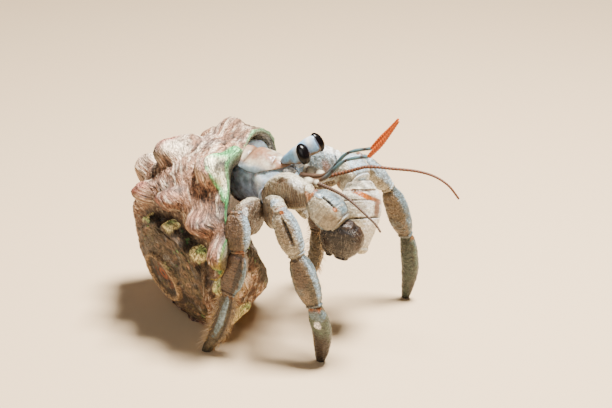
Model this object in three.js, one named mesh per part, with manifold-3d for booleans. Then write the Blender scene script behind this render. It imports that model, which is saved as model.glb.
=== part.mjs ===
// A land hermit crab standing half out of a worn turban shell, life size.
// Millimetres, +Z up.  The crab heads along +X and its left side is +Y.
// The shell lies on its side with its worn apex to the right rear.
import * as THREE from 'three';
import { mergeVertices } from 'three/addons/utils/BufferGeometryUtils.js';
import Module from 'manifold-3d';

const wasm = await Module();
wasm.setup();

// ---------- driving dimensions ----------
const GAP = 0.3;                                  // air left between neighbouring plates
const DEG = Math.PI / 180;
const POLE = 1e-6;                                // nearer to an axis than this is on it

const SHELL = {
  wornApex: new THREE.Vector3(-15.6, -14.5, 15.3), // centre of the worn flat on the spire
  axisTurn: 60.4 * DEG,                           // heading of the axis, from apex to base
  axisRise: 18.7 * DEG,                           // climb of the axis, from apex to base
  roll: -53.3 * DEG,                              // where spiral angle zero points
  growth: 1.8,                                    // size gained in one whorl
  sizeAngle: -37 * DEG,                           // spiral angle at which the sizes below hold
  lostTip: 14.2,                                  // height of spire worn away
  whorlAcross: 15.2,                              // axis to the middle of a whorl's section
  whorlDown: 38.2,                                // lost tip to the middle of that section
  halfAcross: 10.8,
  halfDown: 17.3,
  squareness: 0.65,
  beak: 4.5,                                      // how far the lip droops over the suture
  beakTurn: 30 * DEG,
  wall: 1.7,
  lipWall: 0.8,
  lipReach: 20,                                   // axis to the lip's edge, for its share of the gap
};
const LIP = {                                     // the slanting lip, against the section angle
  nearestTurn: -46 * DEG,                         // spiral angle where it hangs back most
  slant: 73 * DEG,                                // how much further it reaches near the spire
  curve: 1.8,
  foremost: -100 * DEG,                           // section angle where it reaches furthest
  beakSide: -105 * DEG,                           // section angle of the droop
  beakNarrow: 4,
};
const MOUTH = { back: 100 * DEG, past: 8 * DEG, thinning: 14 * DEG };
const CORE = { top: 7.2, bottom: 4.2, above: 2, length: 28 };
const WHORLS = { first: -470 * DEG, joint: -285 * DEG, overlap: 5 * DEG };
const CROWDING = { share: 0.5, at: 140 * DEG };   // draws the section's corners to its pointed side
const KNOB_ROWS = [                               // rows of knobs; `places` are spiral angles in degrees
  { section: -10, places: [-31, -66, -100, -124, -151, -180], high: 5.2, keel: 1.2, halfTurn: 9,
    halfSection: 14 },
  { section: -6, places: [-210, -246, -283, -323, -359, -397, -437], high: 3.2, keel: 0.5, halfTurn: 9.5,
    halfSection: 13, early: true },
  { section: -62, places: [9, -14, -41, -70], high: 4, keel: 0.3, halfTurn: 9.5, halfSection: 18 },
  { section: 30, places: [-65, -93, -122, -150, -179], high: 2.2, keel: 0.7, halfTurn: 10.5,
    halfSection: 16 },
];
const KEEL_HALF_SECTION = 24;                     // degrees
const KNOB_ROUNDNESS = 0.8;
const EARLY_TURN = { from: -195 * DEG, to: -205 * DEG }; // where the early row takes over from the others
const WEAR = { flat: 6.75, rim: 17, rise: 3.6, block: 20 }; // worn flat, and the worn slope round it

const FLOOR_CUT = { across: 160, deep: 10 };

// ---------- colours ----------
const COLOURS = {
  shell: 0x8f7d6d, shield: 0xc9b39c, body: 0x8b8f96, belly: 0xa58f86, stalk: 0x9fb6c6, eye: 0x0b0a0c,
  leg: 0xa79c88, legBlue: 0x8fa09a, claw: 0xd9cfb6, feeler: 0x9a6a35,
  orange: 0xd9581a, membrane: 0x98806f,
};

const SATIN = 0.6;
const CHALKY = 0.8;
const MOIST = 0.5;
const GLOSSY = 0.1;

function finish(colour, roughness) {
  return new THREE.MeshStandardMaterial({ color: colour, roughness, metalness: 0 });
}

// ---------- solids ----------
function toManifold(geometry) {
  const bare = geometry.clone();
  bare.deleteAttribute('normal');
  bare.deleteAttribute('uv');
  const merged = mergeVertices(bare, 1e-4);
  const triangles = new Uint32Array(merged.index.array);
  if (signedVolume(merged) < 0) triangles.reverse();
  return new wasm.Manifold(new wasm.Mesh({
    numProp: 3,
    vertProperties: new Float32Array(merged.attributes.position.array),
    triVerts: triangles,
  }));
}

// Six times the volume inside a closed geometry; negative where its faces point inwards.
function signedVolume(geometry) {
  const { position } = geometry.attributes;
  const corners = [new THREE.Vector3(), new THREE.Vector3(), new THREE.Vector3()];
  let sum = 0;
  for (let place = 0; place < geometry.index.count; place += 3) {
    corners.forEach((corner, turn) => {
      corner.fromBufferAttribute(position, geometry.index.getX(place + turn));
    });
    sum += corners[0].dot(corners[1].cross(corners[2]));
  }
  return sum;
}

function largestBody(solid) {
  return solid.decompose().sort((a, b) => b.volume() - a.volume())[0];
}

function toGeometry(solid) {
  const mesh = solid.getMesh();
  const geometry = new THREE.BufferGeometry();
  geometry.setAttribute('position', new THREE.BufferAttribute(new Float32Array(mesh.vertProperties), 3));
  geometry.setIndex(new THREE.BufferAttribute(new Uint32Array(mesh.triVerts), 1));
  geometry.computeVertexNormals();
  return geometry;
}

// Moves every vertex of a geometry by a function of its old place.
function warp(geometry, place) {
  const positions = geometry.attributes.position;
  const point = new THREE.Vector3();
  for (let index = 0; index < positions.count; index += 1) {
    point.fromBufferAttribute(positions, index);
    const moved = place(point);
    positions.setXYZ(index, moved.x, moved.y, moved.z);
  }
  return geometry;
}

// A full-range smooth step from 0 at low to 1 at high.
function ease(low, high, value) {
  const share = THREE.MathUtils.clamp((value - low) / (high - low), 0, 1);
  return share * share * (3 - 2 * share);
}

// Reads a width from a short list spread evenly along a limb.
function along(list, share) {
  const reach = share * (list.length - 1);
  const before = Math.min(Math.floor(reach), list.length - 2);
  return THREE.MathUtils.lerp(list[before], list[before + 1], reach - before);
}

function roundedPower(value, power) {
  return Math.sign(value) * Math.abs(value) ** power;
}

// Distance from the middle of a section, and the direction there; both are nought at a pole.
function ringPlace(first, second) {
  const distance = Math.hypot(first, second);
  const ring = distance < POLE ? 0 : distance;
  return { ring, cosine: ring && first / ring, sine: ring && second / ring };
}

// A plate of the limbs: a closed rounded bar between two points.  `wide` and `deep` are
// half-widths listed from start to end, `side` points along the wide way, `bow` bends it.
function limb({
  from, to, side, wide, deep, bow = 0, seat = 0, blunt = 0.45, around = 8, steps = 6, square = 0.8,
}) {
  const start = new THREE.Vector3(...from);
  const end = new THREE.Vector3(...to);
  const axis = end.clone().sub(start);
  const length = axis.length() + seat;
  axis.normalize();
  start.addScaledVector(axis, -seat);
  const across = new THREE.Vector3(...side);
  across.addScaledVector(axis, -across.dot(axis)).normalize();
  const upward = new THREE.Vector3().crossVectors(axis, across);
  return (grow) => toManifold(warp(new THREE.SphereGeometry(1, around, steps), (point) => {
    const share = THREE.MathUtils.clamp((1 - point.y) / 2, 0, 1);
    const { ring, cosine, sine } = ringPlace(point.x, point.z);
    const dome = ring ** blunt;
    const halfWide = (along(wide, share) + grow) * dome;
    const halfDeep = (along(deep, share) + grow) * dome;
    return start.clone()
      .addScaledVector(axis, share * (length + 2 * grow) - grow)
      .addScaledVector(across, roundedPower(cosine, square) * halfWide + bow * Math.sin(share * Math.PI))
      .addScaledVector(upward, -roundedPower(sine, square) * halfDeep);
  }));
}

// A thin feeler swept along a smooth curve, with half-widths listed from root to tip.
function feeler({ route, thick, around = 6, steps = 12 }) {
  const curve = new THREE.CatmullRomCurve3(route.map((place) => new THREE.Vector3(...place)));
  const frames = curve.computeFrenetFrames(steps, false);
  return (grow) => toManifold(warp(new THREE.CylinderGeometry(1, 1, 1, around, steps), (point) => {
    const share = point.y + 0.5;
    const step = Math.round(share * steps);
    const half = along(thick, share) + grow;
    return curve.getPointAt(share)
      .addScaledVector(frames.normals[step], -point.x * half)
      .addScaledVector(frames.binormals[step], point.z * half);
  }));
}

// ---------- the turban shell ----------
const shellAxis = new THREE.Vector3(
  Math.cos(SHELL.axisTurn) * Math.cos(SHELL.axisRise),
  Math.sin(SHELL.axisTurn) * Math.cos(SHELL.axisRise),
  Math.sin(SHELL.axisRise),
);
const shellLevel = new THREE.Vector3(-Math.sin(SHELL.axisTurn), Math.cos(SHELL.axisTurn), 0);
const shellUp = new THREE.Vector3().crossVectors(shellAxis, shellLevel);

// The place at a distance from the axis, a distance below the lost tip and a spiral angle.
function shellPlace(across, down, turn) {
  const angle = SHELL.roll - turn;
  return SHELL.wornApex.clone()
    .addScaledVector(shellAxis, down - SHELL.lostTip)
    .addScaledVector(shellUp, across * Math.cos(angle))
    .addScaledVector(shellLevel, across * Math.sin(angle));
}

function whorlSize(turn) {
  return SHELL.growth ** ((turn - SHELL.sizeAngle) / (2 * Math.PI));
}

// The slanting lip: the spiral angle at which the last whorl ends, round its section.
function lipTurn(section) {
  const nearSpire = (1 + Math.cos(section - LIP.foremost)) / 2;
  return LIP.nearestTurn + LIP.slant * nearSpire ** LIP.curve;
}

// The lip droops towards the spire where it meets the suture.
function lipBeak(section, turn) {
  const side = Math.max(Math.cos(section - LIP.beakSide), 0) ** LIP.beakNarrow;
  return SHELL.beak * side * ease(-SHELL.beakTurn, 0, turn - lipTurn(section));
}

// The height of one row: a keel along it, and on it a round knob at each place.
function rowHeight({ section: middle, places, high, keel, halfTurn, halfSection }, section, turn) {
  const off = section - middle * DEG;
  const offRow = Math.atan2(Math.sin(off), Math.cos(off)) / DEG;
  const crest = Math.cos(THREE.MathUtils.clamp(offRow / KEEL_HALF_SECTION, -1, 1) * Math.PI / 2);
  let knob = 0;
  for (const place of places) {
    const near = ((turn / DEG - place) / halfTurn) ** 2 + (offRow / halfSection) ** 2;
    knob = Math.max(knob, Math.max(1 - near, 0) ** KNOB_ROUNDNESS);
  }
  return keel * crest + high * knob;
}

function knobHeight(section, turn) {
  const early = ease(0, 1, (turn - EARLY_TURN.from) / (EARLY_TURN.to - EARLY_TURN.from));
  const heights = KNOB_ROWS.map((row) => rowHeight(row, section, turn) * (row.early ? early : 1 - early));
  return Math.max(...heights) * Math.min(whorlSize(turn), 1);
}

// A length of whorl, from one spiral angle to another, as a closed solid.
function whorl({ start, end, inset, knobs, around, steps }) {
  return toManifold(warp(new THREE.CylinderGeometry(1, 1, 1, around, steps), (point) => {
    const even = Math.atan2(point.z, point.x);
    const section = even + CROWDING.share * Math.sin(even - CROWDING.at);
    const radius = Math.min(Math.hypot(point.x, point.z), 1);
    const last = radius > 0.5 ? end(section) : end(0);
    const first = radius > 0.5 ? start(section) : start(0);
    const turn = THREE.MathUtils.lerp(first, last, point.y + 0.5);
    const size = whorlSize(turn);
    const knob = knobs ? knobHeight(section, turn) : 0;
    const taper = inset(turn, section) - knob;
    const cosine = roundedPower(Math.cos(section), SHELL.squareness);
    const sine = roundedPower(Math.sin(section), SHELL.squareness);
    const down = (SHELL.halfDown * size - taper) * sine * radius;
    const across = (SHELL.halfAcross * size - taper) * cosine * radius;
    const beak = lipBeak(section, turn) * radius;
    return shellPlace(SHELL.whorlAcross * size + across, SHELL.whorlDown * size + down - beak, turn);
  }));
}

// The open mouth of the last whorl; a positive `grow` narrows it.
function shellMouth(grow) {
  return whorl({
    start: (section) => lipTurn(section) - MOUTH.back,
    end: (section) => lipTurn(section) + MOUTH.past,
    inset: (turn, section) => grow + THREE.MathUtils.lerp(
      SHELL.wall, SHELL.lipWall, ease(-MOUTH.thinning, 0, turn - lipTurn(section))),
    knobs: false,
    around: 12,
    steps: 7,
  });
}

function shellSolid(grow) {
  const inset = () => -grow;
  const pastLip = grow / SHELL.lipReach;
  const last = whorl({
    start: () => WHORLS.joint - WHORLS.overlap,
    end: (section) => lipTurn(section) + pastLip,
    inset,
    knobs: true,
    around: 20,
    steps: 44,
  });
  const before = whorl({
    start: () => WHORLS.first,
    end: () => WHORLS.joint + WHORLS.overlap,
    inset,
    knobs: true,
    around: 13,
    steps: 21,
  });
  const core = toManifold(warp(new THREE.CylinderGeometry(1, 1, 1, 10, 1), (point) => {
    const share = point.y + 0.5;
    const angle = Math.atan2(point.z, point.x);
    const radius = Math.min(Math.hypot(point.x, point.z), 1);
    const half = THREE.MathUtils.lerp(CORE.top, CORE.bottom, share) + grow;
    return shellPlace(half * radius, SHELL.lostTip - CORE.above + share * CORE.length, angle);
  }));
  return last.subtract(shellMouth(grow)).add(before).add(core);
}

// What has worn off the spire: all above a small flat and the gentle cone round it.
function wornAway() {
  const outline = [[0, 0], [WEAR.flat, 0], [WEAR.rim, WEAR.rise], [WEAR.rim, -WEAR.block], [0, -WEAR.block]];
  const profile = outline.map(([across, down]) => new THREE.Vector2(across, down));
  const block = new THREE.LatheGeometry(profile, 20);
  block.rotateX(Math.PI / 2);
  block.applyQuaternion(new THREE.Quaternion().setFromUnitVectors(new THREE.Vector3(0, 0, 1), shellAxis));
  block.translate(SHELL.wornApex.x, SHELL.wornApex.y, SHELL.wornApex.z);
  return toManifold(block);
}

function turbanShell(grow) {
  return shellSolid(grow).subtract(wornAway());
}

// ---------- body ----------
// The hard shield over the front of the back: a thin domed plate.
const SHIELD = {
  rear: -3, front: 13.6, halfWide: 5.6, frontWide: 3.4, top: 48, nose: 46.6, thick: 1.5, droop: 3.4,
  blunt: 0.35, square: 0.8, widening: 2.2, edge: 1.2,
};

function shieldPlate(grow) {
  return toManifold(warp(new THREE.SphereGeometry(1, 12, 8), (point) => {
    const share = Math.acos(THREE.MathUtils.clamp(point.x, -1, 1)) / Math.PI;
    const { cosine, sine, ring } = ringPlace(point.y, point.z);
    const dome = ring === 0 ? 0 : Math.sin(share * Math.PI) ** SHIELD.blunt;
    const widened = Math.min(share * SHIELD.widening, 1);
    const wide = THREE.MathUtils.lerp(SHIELD.frontWide, SHIELD.halfWide, widened);
    const y = roundedPower(cosine, SHIELD.square) * (wide + grow) * dome;
    const sag = SHIELD.droop * (y / SHIELD.halfWide) ** 2;
    const half = (SHIELD.thick / 2 + grow) * Math.min(dome * SHIELD.edge, 1);
    const rise = roundedPower(sine, SHIELD.square) * half;
    const x = THREE.MathUtils.lerp(SHIELD.front + grow, SHIELD.rear - grow, share);
    const middle = THREE.MathUtils.lerp(SHIELD.nose, SHIELD.top, ease(0, 0.5, share)) - SHIELD.thick / 2;
    return new THREE.Vector3(x, y, middle - sag + rise);
  }));
}

// The soft body that fills the mouth of the shell behind the legs.
const BELLY = { back: 92 * DEG, front: -26 * DEG, lipShare: 0.45, inset: SHELL.wall + 1.6 };

function abdomen(grow) {
  return whorl({
    start: (section) => lipTurn(section) - BELLY.back,
    end: (section) => lipTurn(section) * BELLY.lipShare + BELLY.front,
    inset: () => BELLY.inset - grow,
    knobs: false,
    around: 9,
    steps: 4,
  });
}

const SEAT = 1.1;                                 // how deep a plate sits in the one before it
const UPRIGHT = [0, 0, 1];
const SIDEWAYS = [0, 1, 0];
const FORWARD = [1, 0, 0];

// ---------- the list of sub-parts, in the order in which they keep their shape ----------
const pieces = [];
function piece(name, colour, shape, roughness = SATIN) {
  pieces.push({ name, colour, shape, roughness });
}

piece('shell', COLOURS.shell, turbanShell, CHALKY);
piece('abdomen', COLOURS.belly, abdomen, MOIST);
piece('shield', COLOURS.shield, shieldPlate);
piece('body', COLOURS.body, limb({
  from: [-4, 1, 38.4], to: [15.2, 0, 40.6], side: SIDEWAYS,
  wide: [5, 6, 6.2, 5.8, 3.6], deep: [6, 6.4, 6.6, 6, 4], around: 12, steps: 7,
}));

const COXA_FACETS = { around: 6, steps: 5 };

// A walking leg: five plates from the body to a claw that stands on the floor.
function walkingLeg(name, { hip, root, knee, wrist, ankle, foot, girth, meral = [2.6, 3.4, 3.3, 2.3] }) {
  const plates = [
    { plate: 'dactyl', from: ankle, to: foot, side: FORWARD, wide: [1.9, 2, 1.85, 1.5, 0.9],
      deep: [1.3, 1.4, 1.3, 1.05, 0.75], bow: 1.2, colour: COLOURS.legBlue },
    { plate: 'propodus', from: wrist, to: ankle, side: FORWARD, wide: [2, 2.6, 2.6, 1.9],
      deep: [1.5, 1.7, 1.6, 1.3], colour: COLOURS.leg },
    { plate: 'carpus', from: knee, to: wrist, side: FORWARD, wide: [2, 2.5, 2.5, 1.9],
      deep: [1.6, 1.9, 1.9, 1.5], colour: COLOURS.leg },
    { plate: 'merus', from: root, to: knee, side: UPRIGHT, wide: meral,
      deep: [1.6, 1.9, 1.9, 1.6], colour: COLOURS.leg },
    { plate: 'coxa', from: hip, to: root, side: UPRIGHT, wide: [2, 2.2, 2.2],
      deep: [1.7, 1.9, 1.8], colour: COLOURS.membrane, facets: COXA_FACETS },
  ];
  addPlates(name, plates, girth);
}

// A claw-bearing leg: five plates, of which the palm carries the fixed finger.
function clawLeg(name, {
  hip, root, knee, wrist, palmSide, tips, hinge, fingerTip, girth, palmWide, palmDeep,
}) {
  addPlates(name, [
    { plate: 'finger', from: hinge, to: fingerTip, side: palmSide, wide: [1.9, 1.9, 1.5, 0.7],
      deep: [1.7, 1.6, 1.2, 0.6], colour: COLOURS.claw },
    { plate: 'palm', from: wrist, to: tips, side: palmSide, wide: palmWide, deep: palmDeep,
      colour: COLOURS.claw },
  ], 1);
  addPlates(name, [
    { plate: 'carpus', from: knee, to: wrist, side: UPRIGHT, wide: [2.4, 3.5, 3.6, 2.8],
      deep: [2.2, 3, 3.1, 2.5], colour: COLOURS.claw },
    { plate: 'merus', from: root, to: knee, side: UPRIGHT, wide: [2.8, 4.1, 4.3, 3],
      deep: [1.7, 2.2, 2.3, 2], bow: 1.4, colour: COLOURS.leg },
    { plate: 'coxa', from: hip, to: root, side: UPRIGHT, wide: [2.2, 2.4, 2.3],
      deep: [1.7, 1.9, 1.8], colour: COLOURS.membrane, facets: COXA_FACETS },
  ], girth);
}

// Adds plates to the list, with their half-widths scaled by the leg's girth.
function addPlates(name, plates, girth) {
  const stout = (half) => half * girth;
  for (const { plate, wide, deep, colour, facets = {}, ...shape } of plates) {
    piece(`${name}_${plate}`, colour, limb({
      ...shape, ...facets, seat: SEAT, wide: wide.map(stout), deep: deep.map(stout),
    }));
  }
}

clawLeg('claw_right', {
  hip: [8.5, -3.6, 37.5], root: [10.4, -7.8, 39.4], knee: [23.8, -10, 42.6], wrist: [30.6, -10, 36.8],
  palmSide: FORWARD, tips: [31, -8, 24.8], palmWide: [3, 4.5, 4.5, 3, 1.2], palmDeep: [2.5, 3, 2.9, 2, 0.9],
  hinge: [27.2, -8.8, 31.5], fingerTip: [27.8, -7.6, 25.4], girth: 1.0,
});
clawLeg('claw_left', {
  hip: [8.5, 3.6, 37.5], root: [11, 8, 39.4], knee: [22, 11.5, 43], wrist: [27.8, 8.4, 39.2],
  palmSide: SIDEWAYS, tips: [31, 2.6, 23.6],
  palmWide: [5.2, 6.8, 6.3, 4.2, 1.6], palmDeep: [3.6, 4.2, 3.8, 2.5, 1.1],
  hinge: [30, 8.8, 31.2], fingerTip: [30.8, 4.8, 24], girth: 1.15,
});
walkingLeg('leg2_right', {
  hip: [7.6, -4, 35], root: [10.6, -7, 35.4], knee: [17.6, -16, 41.2], wrist: [22.4, -16, 29.1],
  ankle: [27, -16, 16.4], foot: [26.3, -11.6, -0.8], girth: 1.18,
});
walkingLeg('leg2_left', {
  hip: [7.6, 4, 35], root: [11.5, 8, 36], knee: [23.5, 17, 42.5], wrist: [30, 22.5, 33],
  ankle: [33.5, 26, 18.8], foot: [32.5, 28.5, -0.8], girth: 1.1,
});
walkingLeg('leg3_right', {
  hip: [5, -3.6, 33.6], root: [7.6, -7, 33], knee: [7, -17, 38.8], wrist: [8.3, -19, 28.4],
  ankle: [5.1, -19, 17], foot: [-1.9, -19.2, -0.8], girth: 1.15, meral: [3.2, 4, 3.7, 2.5],
});
walkingLeg('leg3_left', {
  hip: [5, 3.6, 33.6], root: [8, 7.4, 33], knee: [9.5, 17, 38.5], wrist: [10.5, 21, 28],
  ankle: [9, 24, 16.5], foot: [4.5, 26, -0.8], girth: 1,
});

// ---------- head ----------
for (const [side, hand] of [['right', -1], ['left', 1]]) {
  piece(`eye_${side}`, COLOURS.eye, limb({
    from: [17.1, 3.7 * hand, 49.8], to: [19.4, 4.6 * hand, 51.2], side: UPRIGHT,
    wide: [2.1, 2.5, 2], deep: [1.2, 1.5, 1.2], blunt: 0.9, square: 1,
  }), GLOSSY);
  piece(`eyestalk_${side}`, COLOURS.stalk, limb({
    from: [11.4, 1.5 * hand, 46.4], to: [18.9, 3.2 * hand, 50.9], side: UPRIGHT,
    wide: [1.3, 1.8, 2.3, 2.6], deep: [1, 1.2, 1.4, 1.5],
  }));
  piece(`eye_scale_${side}`, COLOURS.claw, limb({
    from: [12.4, 2.4 * hand, 44.4], to: [15.6, 2.7 * hand, 44.9], side: SIDEWAYS,
    wide: [0.9, 1.1, 0.7], deep: [0.8, 0.9, 0.6], around: 8, steps: 5,
  }));
}
const ANTENNULES = {
  antennule_right: {
    stalk: [[14.5, -1.2, 42.4], [21.5, -1.2, 43.2], [27.8, -1, 49.2], [34.3, -1, 51.5]],
    whip: [[34.9, -1, 52], [37.8, -1, 56.2], [41.4, -1, 61.6]],
  },
  antennule_left: {
    stalk: [[14.5, 1.2, 42.4], [21.5, 1.2, 43.6], [27.4, 1.4, 50.2], [34, 1.6, 52.6]],
    whip: [[34.6, 1.6, 53.1], [37.6, 1.4, 57.4], [40.4, 1.3, 61.2]],
  },
};
for (const [name, { stalk, whip }] of Object.entries(ANTENNULES)) {
  piece(`${name}_whip`, COLOURS.orange, feeler({
    route: whip, thick: [0.55, 0.75, 0.62, 0.5, 0.35], steps: 6,
  }));
  piece(`${name}_stalk`, COLOURS.feeler, feeler({
    route: stalk, thick: [0.9, 0.75, 0.55, 0.5], steps: 8,
  }));
}
const ANTENNAE = {
  antenna_right: {
    stalk: [[14.5, -4.2, 42.6], [18.5, -4.4, 43.4], [22.6, -4.2, 43.6]],
    whip: [[23.3, -4.4, 43.6], [26.2, -5.8, 43.5], [29.2, -7, 43.3], [33.2, -9, 42.7], [37, -10, 40.7],
      [40, -10.5, 38.7], [41.5, -11, 37.2]],
  },
  antenna_left: {
    stalk: [[14.5, 4.2, 42.6], [18.3, 4, 42.2], [21.6, 3, 42.2]],
    whip: [[22.3, 3.1, 42.3], [27, 4.5, 44.4], [30.8, 5.5, 45.7], [36.7, 7, 45.7], [43.3, 8, 45.7],
      [47.6, 8, 45.1], [51, 8, 43.4], [53.8, 8, 40.4]],
  },
};
for (const [name, { stalk, whip }] of Object.entries(ANTENNAE)) {
  piece(`${name}_whip`, COLOURS.feeler, feeler({
    route: whip, thick: [0.55, 0.42, 0.35, 0.3], around: 5, steps: 12,
  }));
  piece(`${name}_stalk`, COLOURS.leg, feeler({
    route: stalk, thick: [1.5, 1.4, 1.1, 0.8], around: 8, steps: 5,
  }));
}
for (const [side, hand] of [['right', -1], ['left', 1]]) {
  piece(`mouth_leg_${side}`, COLOURS.leg, limb({
    from: [13.5, 1.6 * hand, 38.4], to: [18.2, 1.8 * hand, 32.6], side: SIDEWAYS,
    wide: [1.1, 1.3, 0.9], deep: [1.2, 1.3, 0.9], around: 8, steps: 6,
  }));
  piece(`leg4_${side}`, COLOURS.membrane, limb({
    from: [2.4, 5 * hand, 33.2], to: [5, 10.5 * hand, 27.4], side: FORWARD,
    wide: [1.5, 1.6, 1.1], deep: [1.2, 1.3, 0.9], around: 8, steps: 6,
  }));
}
// ---------- assembly ----------
const floorBlock = new THREE.BoxGeometry(FLOOR_CUT.across, FLOOR_CUT.across, FLOOR_CUT.deep);
floorBlock.translate(0, 0, -FLOOR_CUT.deep / 2);
const belowFloor = toManifold(floorBlock);

function boxOf(solid) {
  const { min, max } = solid.boundingBox();
  return new THREE.Box3(new THREE.Vector3(...min), new THREE.Vector3(...max));
}

// Each piece yields to the pieces before it, with an air gap between them.
const crab = new THREE.Group();
const placed = [];
for (const { name, colour, shape, roughness } of pieces) {
  let solid = shape(0);
  if (boxOf(solid).min.z < 0) solid = solid.subtract(belowFloor);
  for (const neighbour of placed) {
    if (boxOf(solid).intersectsBox(neighbour.box)) solid = solid.subtract(neighbour.grown());
  }
  solid = largestBody(solid);
  let grown = null;
  placed.push({
    box: boxOf(solid).expandByScalar(GAP),
    grown: () => {
      grown = grown ?? shape(GAP);
      return grown;
    },
  });
  const mesh = new THREE.Mesh(toGeometry(solid), finish(colour, roughness));
  mesh.name = name;
  crab.add(mesh);
}

// The origin is the middle of the model's footprint, on the floor.
const bounds = new THREE.Box3().setFromObject(crab);
const middle = bounds.getCenter(new THREE.Vector3());
crab.position.set(-middle.x, -middle.y, -bounds.min.z);

const group = new THREE.Group();
group.add(crab);

export default group;
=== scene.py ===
"""Land hermit crab in a worn turban shell: surfaces, finishes, bristles, floor, light and camera.

Shapes are worked out in millimetres in the crab's own axes (+X its heading, +Y its left side, +Z up) and
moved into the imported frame, in metres, when their mesh is made.
"""

import logging
import math
from dataclasses import dataclass, field, replace
from enum import Enum
from typing import Callable, Optional, Sequence, Union

import bmesh
import bpy
import numpy as np
from mathutils import Matrix, Vector


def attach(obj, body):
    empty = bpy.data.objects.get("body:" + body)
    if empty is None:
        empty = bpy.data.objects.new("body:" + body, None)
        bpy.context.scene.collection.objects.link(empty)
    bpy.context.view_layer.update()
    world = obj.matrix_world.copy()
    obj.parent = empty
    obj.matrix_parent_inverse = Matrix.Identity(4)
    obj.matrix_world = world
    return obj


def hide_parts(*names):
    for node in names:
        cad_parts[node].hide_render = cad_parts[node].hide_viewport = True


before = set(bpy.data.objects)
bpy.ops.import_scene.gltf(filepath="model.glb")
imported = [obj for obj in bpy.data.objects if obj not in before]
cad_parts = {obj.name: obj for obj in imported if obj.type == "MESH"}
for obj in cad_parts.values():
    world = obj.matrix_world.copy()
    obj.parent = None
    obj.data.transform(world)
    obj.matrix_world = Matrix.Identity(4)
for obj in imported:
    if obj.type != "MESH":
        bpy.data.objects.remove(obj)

Array = np.ndarray
Point = tuple[float, float, float]
SocketValue = Union[float, bpy.types.NodeSocket]
LOG = logging.getLogger("hermit_crab")
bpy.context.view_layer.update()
MILLIMETRE = 0.001
FULL_TURN = 2.0 * math.pi
SHIFT = np.array([-10.1119, -1.9366, 0.0])  # from the crab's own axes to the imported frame, in millimetres

FORWARD: Point = (1.0, 0.0, 0.0)
SIDEWAYS: Point = (0.0, 1.0, 0.0)
UPRIGHT: Point = (0.0, 0.0, 1.0)
PLATE_BLUNT, PLATE_SQUARE, SEAT = 0.3, 0.7, 1.1
FLOOR_LEVEL = 0.0
UNDER_SKIN = 0.2
WELD_DISTANCE = 1e-6
NO_WHORL = 99.0  # a depth below any whorl's top, in millimetres
TINY = 1e-9
LATTICE_PRIMES = np.array([73856093, 19349663, 83492791])
SEED_PRIME = 374761393
MIXING_PRIME = 1274126177


# ---------- arithmetic ----------

def ease(low: float, high: float, value: Array) -> Array:
    """Smooth step: 3s^2 - 2s^3 of the share s that value has gone from low to high.

    Args:
        low: Where the step starts.
        high: Where the step ends.
        value: Numbers to step.

    Returns:
        Numbers from 0 to 1.
    """
    share = np.clip((value - low) / (high - low), 0.0, 1.0)
    return share * share * (3.0 - 2.0 * share)


def hump(centre: float, width: float, value: Array) -> Array:
    """Bell curve exp(-((value - centre) / width)^2)."""
    return np.exp(-(((value - centre) / width) ** 2))


def signed_power(value: Array, power: float) -> Array:
    """The power of the size of each number, with the number's own sign."""
    return np.sign(value) * np.abs(value) ** power


def listed(values: Sequence[float], share: Array) -> Array:
    """Reads a list spread evenly from 0 to 1, by a cubic through its values (Catmull-Rom).

    Args:
        values: Widths or other numbers from start to end.
        share: Where to read, from 0 to 1.

    Returns:
        The read numbers, in the shape of share.
    """
    known = np.asarray(values, float)
    padded = np.concatenate([[2 * known[0] - known[1]], known, [2 * known[-1] - known[-2]]])
    reach = np.clip(share, 0.0, 1.0) * (len(known) - 1)
    before = np.minimum(reach.astype(int), len(known) - 2)
    step = reach - before
    a, b, c, d = (padded[before + shift] for shift in range(4))
    return b + 0.5 * step * (c - a + step * (2 * a - 5 * b + 4 * c - d + step * (3 * (b - c) + d - a)))


def lattice_noise(places: Array, cell: float, seed: int) -> Array:
    """Value noise: a hashed number at each corner of a lattice, blended smoothly inside each cell.

    Args:
        places: Points, with their three coordinates last.
        cell: Size of a lattice cell, in the points' unit.
        seed: Picks another field of numbers.

    Returns:
        Numbers from -1 to 1, one for each point.
    """
    scaled = np.asarray(places, float) / cell + seed * 17.31
    base = np.floor(scaled).astype(np.int64)
    inside = scaled - base
    inside = inside * inside * (3.0 - 2.0 * inside)
    total = np.zeros(scaled.shape[:-1])
    for corner in range(8):
        bits = np.array([corner & 1, corner >> 1 & 1, corner >> 2 & 1])
        key = ((base + bits) * LATTICE_PRIMES).sum(-1) + seed * SEED_PRIME
        key = (key ^ (key >> 13)) * MIXING_PRIME & 0x7FFFFFFF
        key = (key ^ (key >> 16)) & 0xFFFF
        weight = np.prod(np.where(bits == 1, inside, 1.0 - inside), axis=-1)
        total += weight * (key / 32767.5 - 1.0)
    return total


def fractal(places: Array, cell: float, seed: int, octaves: int = 3) -> Array:
    """Sum of lattice noise, each octave half as coarse and half as strong as the one before.

    Args:
        places: Points, with their three coordinates last.
        cell: Size of the coarsest cell.
        seed: Picks the field.
        octaves: How many fields are added.

    Returns:
        Numbers round 0, less than 2 in size.
    """
    total = np.zeros(np.asarray(places).shape[:-1])
    for octave in range(octaves):
        total += lattice_noise(places, cell / 2 ** octave, seed + octave) / 2 ** octave
    return total


def joined_height(heights: Sequence[Array], power: float = 4.0) -> Array:
    """Smooth union of bumps: the power-th root of the sum of their powers."""
    return sum(np.maximum(height, 0.0) ** power for height in heights) ** (1.0 / power)


def unit(vector: Sequence[float]) -> Array:
    """The vector, one long."""
    array = np.asarray(vector, float)
    return array / np.linalg.norm(array)


def unit_each(vectors: Array) -> Array:
    """Every vector of a list, one long."""
    return vectors / np.linalg.norm(vectors, axis=-1, keepdims=True)


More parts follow.
